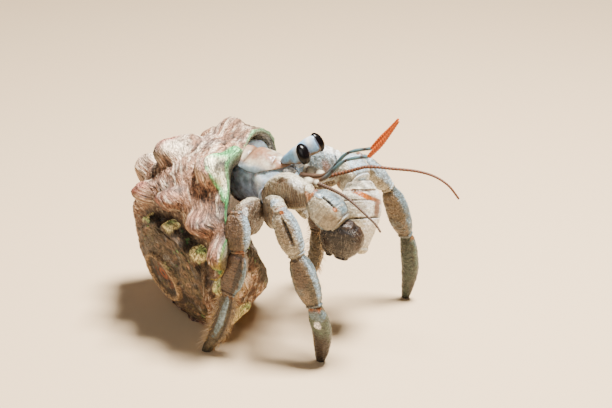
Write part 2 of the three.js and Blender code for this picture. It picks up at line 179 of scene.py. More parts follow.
def crowded_ends(rows: int) -> Array:
    """Shares from 0 to 1, closer together near both ends: (1 - cos(pi k)) / 2 at even steps k."""
    return (1.0 - np.cos(np.linspace(0.0, math.pi, rows))) / 2.0


def ring_grid(along: Array, columns: int) -> tuple[Array, Array]:
    """Each pair of a place along a tube and an angle round it, in radians."""
    return np.meshgrid(along, np.linspace(0.0, FULL_TURN, columns, endpoint=False), indexing="ij")


def wrapped(along: Array, radius: float, angle: Array) -> Array:
    """Places on a cylinder: noise read there meets itself once round a tube."""
    return np.stack([along, radius * np.cos(angle), radius * np.sin(angle)], axis=-1)


def ringed(spine: Array, half: Array, side: Array, other: Array, angle: Array) -> Array:
    """Rings round a middle line: spine + half * (cos(angle) * side + sin(angle) * other)."""
    return spine[..., None, :] + half[..., None, None] * (
        np.cos(angle)[:, None] * side[..., None, :] + np.sin(angle)[:, None] * other[..., None, :])


# ---------- colour ----------

def shade(red: int, green: int, blue: int) -> Array:
    """A display colour, from 0 to 255 a channel, as linear light from 0 to 1."""
    display = np.array([red, green, blue]) / 255.0
    return np.where(display <= 0.04045, display / 12.92, ((display + 0.055) / 1.055) ** 2.4)


def blend(first: Array, second: Array, share: Array) -> Array:
    """Mixes two colours, or fields of colour, by a share from 0 to 1 at each point."""
    weight = np.clip(share, 0.0, 1.0)[..., None]
    return first * (1.0 - weight) + second * weight


def layered(ground: Array, *coats: tuple[Array, Array]) -> Array:
    """Lays coats of colour over a ground, one on another.

    Args:
        ground: The first colours.
        coats: The colour, or field of colours, of each coat, and its share from 0 to 1 at each point.

    Returns:
        The mixed colours.
    """
    for colour, share in coats:
        ground = blend(ground, colour, share)
    return ground


class Side(Enum):
    """The crab's two sides, by the sign of Y."""

    RIGHT = -1.0
    LEFT = 1.0

    @property
    def word(self) -> str:
        """The side's name in node names."""
        return self.name.lower()


class Hue:
    """The colours that the crab and its shell are painted with."""

    SHELL_BROWN = shade(84, 58, 42)
    SHELL_PINK = shade(150, 110, 84)
    SHELL_CREAM = shade(236, 216, 188)
    SHELL_DARK = shade(22, 14, 10)
    SHELL_RED = shade(122, 58, 48)
    SHELL_MINT = shade(146, 214, 146)
    SHELL_GREEN = shade(38, 122, 58)
    SHELL_LIP = shade(120, 102, 36)
    SHELL_OLD = shade(78, 60, 44)
    SHELL_OLIVE = shade(66, 62, 40)
    SHELL_YELLOW = shade(214, 198, 136)
    SHELL_DISC = shade(24, 15, 9)
    SHELL_RIM = shade(128, 104, 76)
    SHELL_ORANGE = shade(140, 66, 28)
    SHELL_GREY = shade(96, 96, 96)
    SHELL_NACRE = shade(196, 186, 170)
    CREAM = shade(194, 184, 160)
    IVORY = shade(244, 236, 212)
    TAN = shade(126, 106, 82)
    BROWN = shade(84, 60, 42)
    DARK_BROWN = shade(48, 29, 18)
    UMBER = shade(27, 16, 10)
    ORANGE = shade(160, 84, 14)
    RUST = shade(104, 56, 24)
    BLUE_GREY = shade(106, 126, 134)
    PALE_BLUE = shade(166, 188, 200)
    SKY = shade(134, 182, 222)
    TEAL = shade(78, 106, 112)
    MOSS = shade(84, 98, 80)
    OLIVE = shade(60, 56, 38)
    FERN = shade(36, 48, 38)
    WHITE = shade(246, 244, 238)
    SKIN = shade(158, 166, 178)
    PURPLE = shade(76, 58, 62)
    BLACK = shade(8, 6, 7)
    VIVID = shade(184, 74, 0)
    STRAW = shade(206, 166, 104)
    FLOOR = shade(216, 190, 154)


# ---------- meshes ----------

def limb_frame(start: Point, end: Point, side: Point,
               seat: float) -> tuple[Array, Array, float, Array, Array]:
    """The origin, axis, length and two cross directions of a bar between two points.

    Args:
        start: One end, in millimetres.
        end: Other end.
        side: Rough direction of the bar's wide way.
        seat: How far the bar is carried back past its start.

    Returns:
        Origin, unit axis, length, unit wide way and unit deep way.
    """
    first, last = np.asarray(start, float), np.asarray(end, float)
    axis = unit(last - first)
    across = np.asarray(side, float)
    across = unit(across - axis * (across @ axis))
    length = float(np.linalg.norm(last - first)) + seat
    return first - axis * seat, axis, length, across, np.cross(axis, across)


@dataclass(frozen=True)
class Bar:
    """A rounded bar between two points, the same form as a limb plate's solid."""

    start: Point
    end: Point
    side: Point
    wide: tuple[float, ...]
    deep: tuple[float, ...]
    bow: float = 0.0
    seat: float = 0.0
    blunt: float = 0.45
    square: float = 0.8

    @property
    def length(self) -> float:
        """Length from the seat to the end, in millimetres."""
        return limb_frame(self.start, self.end, self.side, self.seat)[2]

    def mirrored(self, side: Side) -> "Bar":
        """The bar given for the left side, on the side asked for."""
        start, end = ((x, y * side.value, z) for x, y, z in (self.start, self.end))
        return replace(self, start=start, end=end)

    def place(self, share: Array, angle: Array, lift: Array) -> Array:
        """Points of the bar's skin.

        At a share s along the axis the section is a superellipse, |cos a|^square by |sin a|^square of the
        two half-widths, shrunk to nothing at both ends by (4 s (1 - s))^(blunt / 2).

        Args:
            share: From 0 at the start to 1 at the end.
            angle: Round the section, 0 towards the wide side.
            lift: How far the skin stands out beyond the plain bar, in millimetres.

        Returns:
            Points in millimetres.
        """
        origin, axis, length, across, upward = limb_frame(self.start, self.end, self.side, self.seat)
        dome = (4.0 * share * (1.0 - share)) ** (self.blunt / 2.0)
        wide = (listed(self.wide, share) + lift) * dome * signed_power(np.cos(angle), self.square)
        deep = (listed(self.deep, share) + lift) * dome * signed_power(np.sin(angle), self.square)
        bend = self.bow * np.sin(share * math.pi)
        return (origin + axis * (share * length)[..., None] + across * (wide + bend)[..., None]
                - upward * deep[..., None])


@dataclass
class Surface:
    """Closed tubes of points in millimetres, with a colour for each point, ready to become faces.

    The points are numbered by ring, place round the ring and coordinate, with the hair first where there are
    many. On the unwrap a tube fills the whole square, and a hair a small patch at its root.
    """

    points: Array
    tint: Array
    lie: Optional[Array] = None
    roots: Optional[Array] = None
    patch: float = 0.003

    def faces(self, first: int) -> tuple[Array, Array, Array]:
        """Quads by vertex number and by place on the unwrap.

        Args:
            first: Number of the surface's first vertex in the mesh.

        Returns:
            Vertex numbers, with one column a corner; and two arrays of the corners' places.
        """
        rings, around = self.points.shape[-3:-1]
        tubes = self.points.size // (rings * around * 3)
        tube, row, column = (part.ravel() for part in np.meshgrid(
            np.arange(tubes), np.arange(rings - 1), np.arange(around), indexing="ij"))
        rows = np.stack([row, row, row + 1, row + 1], axis=1)
        columns = np.stack([column, column + 1, column + 1, column], axis=1)
        numbers = first + (tube[:, None] * rings + rows) * around + columns % around
        start, wide = (np.zeros((1, 2)), 1.0) if self.roots is None else (self.roots[tube], self.patch)
        return numbers, start[:, :1] + columns / around * wide, start[:, 1:] + rows / (rings - 1) * wide


def mesh_piece(name: str, surfaces: Sequence[Surface], finish: "Finish",
               nodes: Sequence[str]) -> bpy.types.Object:
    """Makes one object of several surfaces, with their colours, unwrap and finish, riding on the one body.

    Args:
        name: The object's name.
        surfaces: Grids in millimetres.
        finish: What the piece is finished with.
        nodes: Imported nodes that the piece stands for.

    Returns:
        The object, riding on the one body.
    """
    points, tints, lies, faces, first = [], [], [], [], 0
    for surface in surfaces:
        faces.append(surface.faces(first))
        points.append(surface.points.reshape(-1, 3))
        tints.append(np.broadcast_to(surface.tint, surface.points.shape).reshape(-1, 3))
        lies.append((surface.points if surface.lie is None else surface.lie).reshape(-1, 3))
        first += points[-1].shape[0]
    places = (np.concatenate(points) + SHIFT) * MILLIMETRE
    places[:, 2] = np.maximum(places[:, 2], FLOOR_LEVEL)
    mesh = fill_mesh(name, places, *(np.concatenate(part) for part in zip(*faces)))
    paint(mesh, np.concatenate(tints))
    layer = mesh.attributes.new(name="lie", type="FLOAT_VECTOR", domain="POINT")
    layer.data.foreach_set("vector", np.concatenate(lies).astype(np.float32).ravel())
    weld(mesh)
    mesh.shade_smooth()
    piece = bpy.data.objects.new(name, mesh)
    bpy.context.scene.collection.objects.link(piece)
    return register(piece, finish, nodes)


def fill_mesh(name: str, places: Array, quads: Array, u: Array, v: Array) -> bpy.types.Mesh:
    """Puts vertices, four-cornered faces and an unwrap into a new mesh.

    Args:
        name: The mesh's name.
        places: Vertices in metres.
        quads: Four vertex numbers a face.
        u: First unwrap coordinate of each face corner.
        v: Second one.

    Returns:
        The mesh.
    """
    mesh = bpy.data.meshes.new(name)
    mesh.vertices.add(len(places))
    mesh.vertices.foreach_set("co", places.astype(np.float32).ravel())
    mesh.loops.add(quads.size)
    mesh.loops.foreach_set("vertex_index", quads.astype(np.int32).ravel())
    mesh.polygons.add(len(quads))
    mesh.polygons.foreach_set("loop_start", np.arange(0, quads.size, 4, dtype=np.int32))
    unwrap = mesh.uv_layers.new(name="OFBake")
    unwrap.data.foreach_set("uv", np.stack([u, v], axis=-1).astype(np.float32).ravel())
    mesh.update(calc_edges=True)
    return mesh


def paint(mesh: bpy.types.Mesh, tints: Array) -> None:
    """Stores a colour for each vertex as the attribute that the finishes read.

    Args:
        mesh: The mesh to paint.
        tints: Linear colours, one for each vertex.
    """
    layer = mesh.color_attributes.new(name="tint", type="FLOAT_COLOR", domain="POINT")
    opaque = np.concatenate([np.clip(tints, 0.0, 1.0), np.ones((len(tints), 1))], axis=1)
    layer.data.foreach_set("color", opaque.astype(np.float32).ravel())


def weld(mesh: bpy.types.Mesh) -> None:
    """Merges the vertices that fall together at poles, drops empty faces and turns all faces outwards.

    Args:
        mesh: The mesh to clean.
    """
    draft = bmesh.new()
    draft.from_mesh(mesh)
    bmesh.ops.remove_doubles(draft, verts=draft.verts, dist=WELD_DISTANCE)
    bmesh.ops.recalc_face_normals(draft, faces=draft.faces)
    draft.to_mesh(mesh)
    draft.free()


def register(piece: bpy.types.Object, finish: "Finish", nodes: Sequence[str]) -> bpy.types.Object:
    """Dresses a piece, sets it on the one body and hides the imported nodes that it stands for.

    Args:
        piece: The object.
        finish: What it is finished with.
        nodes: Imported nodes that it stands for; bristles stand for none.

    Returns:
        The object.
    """
    piece.data.materials.append(finish.material())
    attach(piece, "root")
    if nodes:
        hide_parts(*nodes)
    LOG.info("%s: %d faces", piece.name, len(piece.data.polygons))
    return piece


# ---------- finishes ----------

@dataclass(frozen=True)
class Finish:
    """A painted finish: the piece's own colours, mottled by speckle and by streaks that follow its lie; with
    pits, paler granule tops and painted shade in the gaps between granules.

    Sizes of speckle, streak, grain and pits are in millimetres.  Relief heights are in millimetres too.
    """

    name: str
    roughness: float = 0.5
    rough_swing: float = 0.12
    speckle: float = 0.5
    speckle_swing: tuple[float, float] = (0.75, 1.15)
    streak: float = 0.6
    streak_swing: tuple[float, float] = (0.9, 1.1)
    grain: float = 0.5
    grain_high: float = 0.06
    streak_high: float = 0.0
    pits: float = 0.0
    pits_high: float = 0.0
    # Colour factors on granule tops and in the gaps between them; the darker gaps are painted shade.
    pits_shade_swing: tuple[float, float] = (1.0, 1.0)
    shine: float = 0.5
    coat: float = 0.0
    glow_depth: float = 0.0

    def material(self) -> bpy.types.Material:
        """The finish's node material, made once.

        Returns:
            The material.
        """
        made = bpy.data.materials.get(self.name)
        if made:
            return made
        made = bpy.data.materials.new(self.name)
        made.use_nodes = True
        bench = NodeBench(made.node_tree)
        place = bench.add("ShaderNodeTexCoord", "Object")
        lie = bench.add("ShaderNodeAttribute", "Vector", attribute_name="lie")
        tint = bench.add("ShaderNodeAttribute", "Color", attribute_name="tint")
        speckle = bench.noise(place, 1.0 / (self.speckle * MILLIMETRE), 4.0)
        streak = bench.noise(lie, 1.0 / self.streak, 3.0)
        tint = bench.scaled(tint, bench.swung(speckle, *self.speckle_swing, 0.3, 0.7))
        tint = bench.scaled(tint, bench.swung(streak, *self.streak_swing, 0.3, 0.7))
        bumps = [(bench.noise(place, 1.0 / (self.grain * MILLIMETRE), 5.0), self.grain_high)]
        if self.streak_high:
            bumps.append((streak, self.streak_high))
        if self.pits:
            # Paler granule tops and darker gaps between them: the gaps carry painted shade.
            granules = bench.add("ShaderNodeTexVoronoi", "Distance",
                                 {"Scale": 1.0 / (self.pits * MILLIMETRE), "Vector": place})
            tint = bench.scaled(tint, bench.swung(granules, *self.pits_shade_swing, 0.1, 0.6))
            bumps.append((granules, -self.pits_high))
        rough = bench.swung(speckle, self.roughness - self.rough_swing, self.roughness + self.rough_swing,
                            0.2, 0.8)
        bench.fill(made.node_tree.nodes["Principled BSDF"], {
            "Base Color": tint, "Roughness": rough, "Normal": bench.stacked(bumps),
            "Specular IOR Level": self.shine, "Coat Weight": self.coat, "Coat Roughness": 0.2})
        if self.glow_depth:
            bench.fill(made.node_tree.nodes["Principled BSDF"], {
                "Subsurface Weight": 0.25, "Subsurface Scale": self.glow_depth})
        return made


@dataclass(frozen=True)
class NodeBench:
    """A material's nodes, with short ways to add, set and join them."""

    tree: bpy.types.NodeTree

    def fill(self, node: bpy.types.Node, inputs: dict[Union[str, int], SocketValue]) -> None:
        """Joins each input that is given another node's output, and sets the others to their constants."""
        for name, value in inputs.items():
            if isinstance(value, bpy.types.NodeSocket):
                self.tree.links.new(value, node.inputs[name])
            else:
                node.inputs[name].default_value = value

    def add(self, kind: str, output: str, inputs: Optional[dict[Union[str, int], SocketValue]] = None,
            **settings: Union[str, bool]) -> bpy.types.NodeSocket:
        """Adds a node.

        Args:
            kind: The node's type.
            output: Which of its outputs to give back.
            inputs: What its inputs are joined or set to.
            settings: The node's own properties.

        Returns:
            The output.
        """
        node = self.tree.nodes.new(kind)
        for name, value in settings.items():
            setattr(node, name, value)
        self.fill(node, inputs or {})
        return node.outputs[output]

    def stacked(self, bumps: Sequence[tuple[bpy.types.NodeSocket, float]]) -> bpy.types.NodeSocket:
        """Fine bumps one on another, each of a pattern and its height in millimetres.

        Args:
            bumps: Patterns with their heights; one of negative height is sunk.

        Returns:
            The bumped surface direction.
        """
        normal = None
        for height, high in bumps:
            inputs = {"Strength": 1.0, "Distance": abs(high) * MILLIMETRE, "Height": height}
            if normal:
                inputs["Normal"] = normal
            normal = self.add("ShaderNodeBump", "Normal", inputs, invert=high < 0.0)
        return normal

    def scaled(self, colour: bpy.types.NodeSocket, factor: bpy.types.NodeSocket) -> bpy.types.NodeSocket:
        """The colour times a factor."""
        return self.add("ShaderNodeVectorMath", "Vector", {0: colour, "Scale": factor}, operation="SCALE")

    def swung(self, value: bpy.types.NodeSocket, low: float, high: float, start: float,
              end: float) -> bpy.types.NodeSocket:
        """Maps a noise between start and end to numbers between low and high."""
        return self.add("ShaderNodeMapRange", "Result", {
            "From Min": start, "From Max": end, "To Min": low, "To Max": high, "Value": value})

    def noise(self, where: bpy.types.NodeSocket, scale: float, detail: float) -> bpy.types.NodeSocket:
        """A noise texture of that scale on a vector."""
        return self.add("ShaderNodeTexNoise", "Fac", {"Scale": scale, "Detail": detail, "Vector": where})


SHELL_FINISH = Finish("worn_shell_finish", roughness=0.66, speckle=0.55, speckle_swing=(0.4, 1.5), streak=0.3,
                      streak_swing=(0.05, 2.7), grain=0.5, grain_high=0.36, streak_high=0.5)
PLATE_FINISH = Finish("leg_plate_finish", roughness=0.42, speckle=0.9, speckle_swing=(0.6, 1.3), streak=0.5,
                      streak_swing=(0.8, 1.15), grain=0.4, grain_high=0.12, pits=0.42, pits_high=0.17,
                      pits_shade_swing=(1.4, 0.58), coat=0.08)
CLAW_FINISH = Finish("claw_plate_finish", roughness=0.42, speckle=0.9, speckle_swing=(0.62, 1.28), streak=0.5,
                     streak_swing=(0.75, 1.2), grain=0.4, grain_high=0.1, pits=0.46, pits_high=0.13,
                     pits_shade_swing=(1.2, 0.78), coat=0.04)
SHIELD_FINISH = Finish("shield_plate_finish", roughness=0.36, speckle=0.6, speckle_swing=(0.8, 1.15),
                       grain=0.7, grain_high=0.06, coat=0.15)
SKIN_FINISH = Finish("soft_skin_finish", roughness=0.26, speckle=1.4, speckle_swing=(0.62, 1.3), grain=0.8,
                     grain_high=0.12, coat=0.35, glow_depth=0.0008)
STALK_FINISH = Finish("eyestalk_finish", roughness=0.35, speckle=0.7, speckle_swing=(0.85, 1.1), grain=0.5,
                      grain_high=0.03, coat=0.15)
EYE_FINISH = Finish("eye_gloss_finish", roughness=0.24, rough_swing=0.04, speckle=0.2, grain=0.2,
                    grain_high=0.004, shine=0.22)
FEELER_FINISH = Finish("feeler_finish", roughness=0.55, speckle=0.3, speckle_swing=(0.75, 1.15), grain=0.3,
                       grain_high=0.03)
BRISTLE_FINISH = Finish("bristle_finish", roughness=0.5, speckle=0.3, grain_high=0.01)


# ---------- the turban shell ----------

@dataclass(frozen=True)
class KnobRow:
    """A row of knobs round the whorls; angles in degrees, heights in millimetres."""

    section: float
    places: tuple[float, ...]
    high: float
    keel: float = 0.0
    half_turn: float = 9.5
    half_section: float = 15.0
    half_keel: float = 24.0

    def field(self, section: Array, turn: Array, wander: Array) -> Array:
        """Height of the row: a cosine keel along it, and on it a round knob at each of its places.

        A knob is high (1 - d^2)^0.8, with d the elliptic distance from its place.

        Args:
            section: Angle round the whorl's section, in radians.
            turn: Spiral angle, in radians.
            wander: Noise that bends the knobs' outlines.

        Returns:
            Heights in millimetres.
        """
        off_row = np.degrees(np.arctan2(np.sin(section - math.radians(self.section)),
                                        np.cos(section - math.radians(self.section))))
        crest = np.cos(np.clip(off_row / self.half_keel, -1.0, 1.0) * math.pi / 2.0)
        high = np.zeros_like(turn)
        for place in self.places:
            near = ((np.degrees(turn) - place) / self.half_turn) ** 2 + (off_row / self.half_section) ** 2
            high = np.maximum(high, np.clip(1.0 - near * (1.0 + 0.25 * wander), 0.0, 1.0) ** 0.8)
        return self.keel * crest + self.high * high


@dataclass(frozen=True)
class Stain:
    """A stained patch of the shell: an ellipse in section angle and spiral angle, both in degrees."""

    section: float
    turn: float
    half_section: float
    half_turn: float
    colour: Array
    strength: float = 0.85

    def weight(self, degrees: Array, turned: Array, wobble: Array) -> Array:
        """1 in the patch's middle, falling to 0 at its rough edge; both angles are in degrees."""
        distance = ((degrees - self.section) / self.half_section) ** 2 + (
            (turned - self.turn) / self.half_turn) ** 2
        return ease(1.0, 0.3, distance * (1.0 + 0.5 * wobble))


@dataclass(frozen=True)
class TurbanShell:
    """A worn turban shell: a log-spiral tube of superelliptic section, with rows of knobs.

    The place at spiral angle t and section angle s is the axis plus growth^((t - t0) / 2 pi) times the
    section, with the heights of the knobs, folds and growth lines added to the section's two half-widths.
    """

    worn_apex: Point = (-15.6, -14.5, 15.3)
    axis_turn: float = math.radians(60.4)
    axis_rise: float = math.radians(18.7)
    roll: float = math.radians(-53.3)
    growth: float = 1.8
    size_angle: float = math.radians(-37.0)
    lost_tip: float = 14.2
    whorl_across: float = 15.2
    whorl_down: float = 38.2
    half_across: float = 10.8
    half_down: float = 17.3
    squareness: float = 0.65
    beak: float = 4.5
    wall: float = 1.7
    lip_wall: float = 0.8
    mouth_turn: float = math.radians(97.0)
    flat: float = 6.75
    rim: float = 17.0
    rim_rise: float = 3.6
    split: float = math.radians(-320.0)
    first_turn: float = math.radians(-640.0)
    shoulder_reach: float = 26.0
    whorl_grid: tuple[int, int] = (372, 172)
    spire_grid: tuple[int, int] = (320, 132)
    worn_grid: tuple[int, int] = (96, 260)
    inside_rows: int = 62
    shoulder: KnobRow = KnobRow(-10.0, (-31.0, -66.0, -100.0, -124.0, -151.0, -180.0), 5.2, 1.2, 9.0, 14.0)
    spire_knobs: KnobRow = KnobRow(-6.0, (-210.0, -246.0, -283.0, -323.0, -359.0, -397.0, -437.0), 3.2, 0.5,
                                   half_section=13.0)
    suture_knobs: KnobRow = KnobRow(-62.0, (9.0, -14.0, -41.0, -70.0), 4.0, 0.3, 9.5, 18.0)
    lower_knobs: KnobRow = KnobRow(30.0, (-65.0, -93.0, -122.0, -150.0, -179.0), 2.2, 0.7, 10.5, 16.0)
    stains: tuple[Stain, ...] = (
        Stain(-6.0, -67.0, 6.0, 4.5, Hue.SHELL_RED, 0.7),
        Stain(-17.0, -69.0, 5.0, 4.5, Hue.SHELL_DARK, 0.9),
        Stain(-10.0, -60.0, 7.0, 4.0, Hue.SHELL_CREAM, 0.6),
        Stain(-64.0, -43.0, 7.0, 5.0, Hue.SHELL_RED, 0.35),
        Stain(-56.0, -70.0, 10.0, 6.0, Hue.SHELL_RED, 0.65),
        Stain(-68.0, 14.0, 13.0, 5.0, Hue.SHELL_LIP, 0.8),
        Stain(-72.0, 18.0, 10.0, 6.0, Hue.SHELL_GREEN, 0.6),
        Stain(-82.0, 6.0, 12.0, 9.0, Hue.SHELL_OLIVE, 0.8),
    )

    @property
    def axis(self) -> Array:
        """Unit vector from the worn apex to the shell's base."""
        level = math.cos(self.axis_rise)
        return np.array([math.cos(self.axis_turn) * level, math.sin(self.axis_turn) * level,
                         math.sin(self.axis_rise)])

    def place(self, across: Array, down: Array, turn: Array) -> Array:
        """Points at a distance from the axis, a distance below the lost tip and a spiral angle.

        Args:
            across: Distances from the axis, in millimetres.
            down: Distances below the lost tip.
            turn: Spiral angles, in radians.

        Returns:
            Points in millimetres.
        """
        level = np.array([-math.sin(self.axis_turn), math.cos(self.axis_turn), 0.0])
        upward = np.cross(self.axis, level)
        angle = self.roll - turn
        return (np.array(self.worn_apex) + self.axis * (down - self.lost_tip)[..., None]
                + upward * (across * np.cos(angle))[..., None] + level * (across * np.sin(angle))[..., None])

    def size(self, turn: Array) -> Array:
        """Size of the whorl at a spiral angle, against the size at size_angle."""
        return self.growth ** ((turn - self.size_angle) / FULL_TURN)

    def lip_turn(self, section: Array) -> Array:
        """The slanting lip: the spiral angle at which the last whorl ends.

        Args:
            section: Section angles, in radians.

        Returns:
            Spiral angles, in radians.
        """
        near_spire = (1.0 + np.cos(section + math.radians(100.0))) / 2.0
        tongue = 5.0 * hump(-15.0, 14.0, np.degrees(section))
        return np.radians(-46.0 + 73.0 * near_spire ** 1.8 + tongue)

    def droop(self, section: Array, growth: Array) -> Array:
        """How far the lip droops over the suture, near the lip only."""
        return (self.beak * np.maximum(np.cos(section + math.radians(105.0)), 0.0) ** 4
                * ease(-math.radians(30.0), 0.0, growth))

    def worn(self, across: Array) -> Array:
        """Depth of the worn spire below the lost tip: a small flat inside a gentle cone."""
        return self.lost_tip + np.maximum(across - self.flat, 0.0) / (self.rim - self.flat) * self.rim_rise

    def section_of(self, around: Array) -> Array:
        """Section angle of the superellipse at a plain polar angle."""
        power = 1.0 / self.squareness
        return np.arctan2(signed_power(np.sin(around), power), signed_power(np.cos(around), power))

    def tube(self, around: Array, growth: Array, inset: Array) -> Array:
        """Points of the whorl's skin at plain polar angles and distances of growth back from the lip.

        Args:
            around: Polar angle round the section.
            growth: Spiral angle less that of the lip.
            inset: How far the skin lies inside the plain section, in millimetres.

        Returns:
            Points in millimetres, and their distance from the axis and depth below the lost tip.
        """
        power = 2.0 / self.squareness
        radius = (np.abs(np.cos(around)) ** power + np.abs(np.sin(around)) ** power) ** (-1.0 / power)
        section = self.section_of(around)
        turn = growth + self.lip_turn(section)
        size = self.size(turn)
        across = self.whorl_across * size + (self.half_across * size - inset) * radius * np.cos(around)
        down = (self.whorl_down * size + (self.half_down * size - inset) * radius * np.sin(around)
                - self.droop(section, growth))
        return self.place(across, down, turn), across, down

    def knobs(self, section: Array, turn: Array, wander: Array) -> tuple[Array, Array, Array, Array]:
        """Heights of the four rows of knobs: those of the spire on its own whorls, the others on the last.

        Args:
            section: Section angles, in radians.
            turn: Spiral angles, in radians.
            wander: Noise that bends the knobs' outlines.

        Returns:
            Heights in millimetres of the shoulder, spire, suture and lower rows.
        """
        scale = np.minimum(self.size(turn), 1.0)
        early = ease(math.radians(-195.0), math.radians(-205.0), turn)
        rows = ((self.shoulder, 1.0 - early), (self.spire_knobs, early), (self.suture_knobs, 1.0 - early),
                (self.lower_knobs, 1.0 - early))
        return tuple(row.field(section, turn, wander) * scale * share for row, share in rows)

    def outside(self, growth_low: float, growth_high: float, grid: tuple[int, int],
                sink: Callable[[Array], Array]) -> tuple[Array, Array, Array]:
        """The outer face between two distances from the lip, with knobs, folds and growth lines.

        Args:
            growth_low: Where the face starts, back from the lip.
            growth_high: Where it ends.
            grid: Rings of points, and points round a ring.
            sink: Extra inset as a function of growth, in millimetres.

        Returns:
            Points, colours, and the lie that streaks follow.
        """
        growth, around = ring_grid(np.linspace(growth_low, growth_high, grid[0]), grid[1])
        section = self.section_of(around)
        turn = growth + self.lip_turn(section)
        plain, across, down = self.tube(around, growth, np.zeros_like(growth))
        knobs = self.knobs(section, turn, fractal(plain, 2.6, 19, 2))
        knob = joined_height(knobs)
        grown = self.grown(growth)
        lines = self.line_noise(grown, around, 0.8, 11, 9.5)
        folds = self.line_noise(grown, around, 3.4, 23, 2.2)
        lumps = fractal(plain, 6.5, 31)
        scale = np.minimum(self.size(turn), 1.0)
        lift = (knob + 0.3 * lumps * scale + 0.07 * lines + 0.14 * folds * scale
                + 0.3 * fractal(plain, 1.5, 37))
        points, across, down = self.tube(around, growth, sink(growth) - lift)
        low = self.worn(across) + 0.35 - down
        points = points + self.axis * np.where(across < self.rim, np.maximum(low, 0.0), 0.0)[..., None]
        tint = self.paint(plain, section, turn, growth, knobs, lines, folds, lumps)
        bent = grown + 1.6 * fractal(plain, 3.2, 39, 2)
        return points, tint, wrapped(bent, 6.5, around)

    def grown(self, growth: Array) -> Array:
        """Length of shell grown along the shoulder, in millimetres: the spiral's own arc length."""
        return self.shoulder_reach * self.size(growth) * FULL_TURN / math.log(self.growth)

    @staticmethod
    def line_noise(grown: Array, around: Array, spacing: float, seed: int, wander: float = 2.6) -> Array:
        """Noise drawn out along the growth lines, so that it makes fine ribs or broad folds.

        Args:
            grown: Length grown, in millimetres.
            around: Polar angle round the section.
            spacing: Distance between lines, in millimetres.
            seed: Picks the pattern.
            wander: How many times the lines change round the section.

        Returns:
            Numbers from about -1.5 to 1.5.
        """
        return fractal(wrapped(grown / spacing, wander, around), 1.0, seed)

    def paint(self, plain: Array, section: Array, turn: Array, growth: Array, knobs: Sequence[Array],
              lines: Array, folds: Array, lumps: Array) -> Array:
        """Colours of the outer face.

        Brown and pink in broad clouds, with cream and dark growth lines, pale or red knobs, painted shade in
        the suture groove, a green worn patch by the lip and an olive base.

        Args:
            plain: Points of the plain tube.
            section: Section angles.
            turn: Spiral angles.
            growth: Spiral angles back from the lip.
            knobs: Heights of the rows of knobs.
            lines: Growth-line noise.
            folds: Fold noise.
            lumps: Broad noise.

        Returns:
            Linear colours.
        """
        degrees = np.degrees(np.arctan2(np.sin(section), np.cos(section)))
        turned, back = np.degrees(turn), np.degrees(growth)
        shoulder, spire, suture, _ = knobs
        cloud, spots, fine = fractal(plain, 5.0, 41), fractal(plain, 1.8, 47), fractal(plain, 0.9, 49, 2)
        old = ease(-300.0, -345.0, turned)
        base = np.clip(ease(20.0, 50.0, degrees) + ease(-150.0, -175.0, degrees), 0.0, 1.0)
        flecks = lines + 0.5 * fine
        # Painted shade: the suture groove below the knobs, darkest between them.
        groove = (hump(-96.0, 19.0, degrees) * (1.0 - old)
                  * ease(0.6, 0.1, suture * ease(-60.0, -80.0, degrees)))
        tint = layered(
            blend(Hue.SHELL_BROWN, Hue.SHELL_PINK, 0.5 + 0.7 * cloud + 0.2 * folds),
            (Hue.SHELL_GREY, ease(0.1, 0.9, fractal(plain, 4.0, 43)) * 0.5),
            (self.old_colour(plain), np.maximum(old, base * 0.95)),
            (Hue.SHELL_CREAM, ease(0.1, 0.9, flecks) * (0.55 - 0.5 * np.maximum(old, base))),
            (Hue.SHELL_DARK, ease(-0.25, -1.0, flecks) * 0.8),
            (Hue.SHELL_CREAM, ease(2.4, 5.0, shoulder + 0.8 * spots) * 0.25),
            (Hue.SHELL_RED, ease(4.6, 5.8, shoulder + 0.6 * spots) * 0.5),
            (Hue.SHELL_RED, ease(0.8, 2.2, suture + 0.9 * spots) * 0.15),
            # painted shade in the suture groove
            (Hue.SHELL_DARK, groove * 0.95),
            (Hue.SHELL_DARK, hump(8.0, 9.0, degrees) * old * 0.8),
            (Hue.SHELL_DARK, ease(-0.4, -1.2, lumps) * 0.6),
            (Hue.SHELL_YELLOW, ease(0.95, 1.4, spire + 0.25 * spots) * 0.95),
            (Hue.SHELL_GREEN, ease(0.9, 1.4, spire + 0.3 * fine) * ease(0.1, 0.6, spots) * 0.6),
            (Hue.SHELL_GREEN, ease(0.85, 1.2, spots) * 0.5 * np.maximum(base, old)),
            *((stain.colour, stain.weight(degrees, turned, fine) * stain.strength) for stain in self.stains),
        )
        return self.paint_lip(tint, degrees, back, spots, fine)

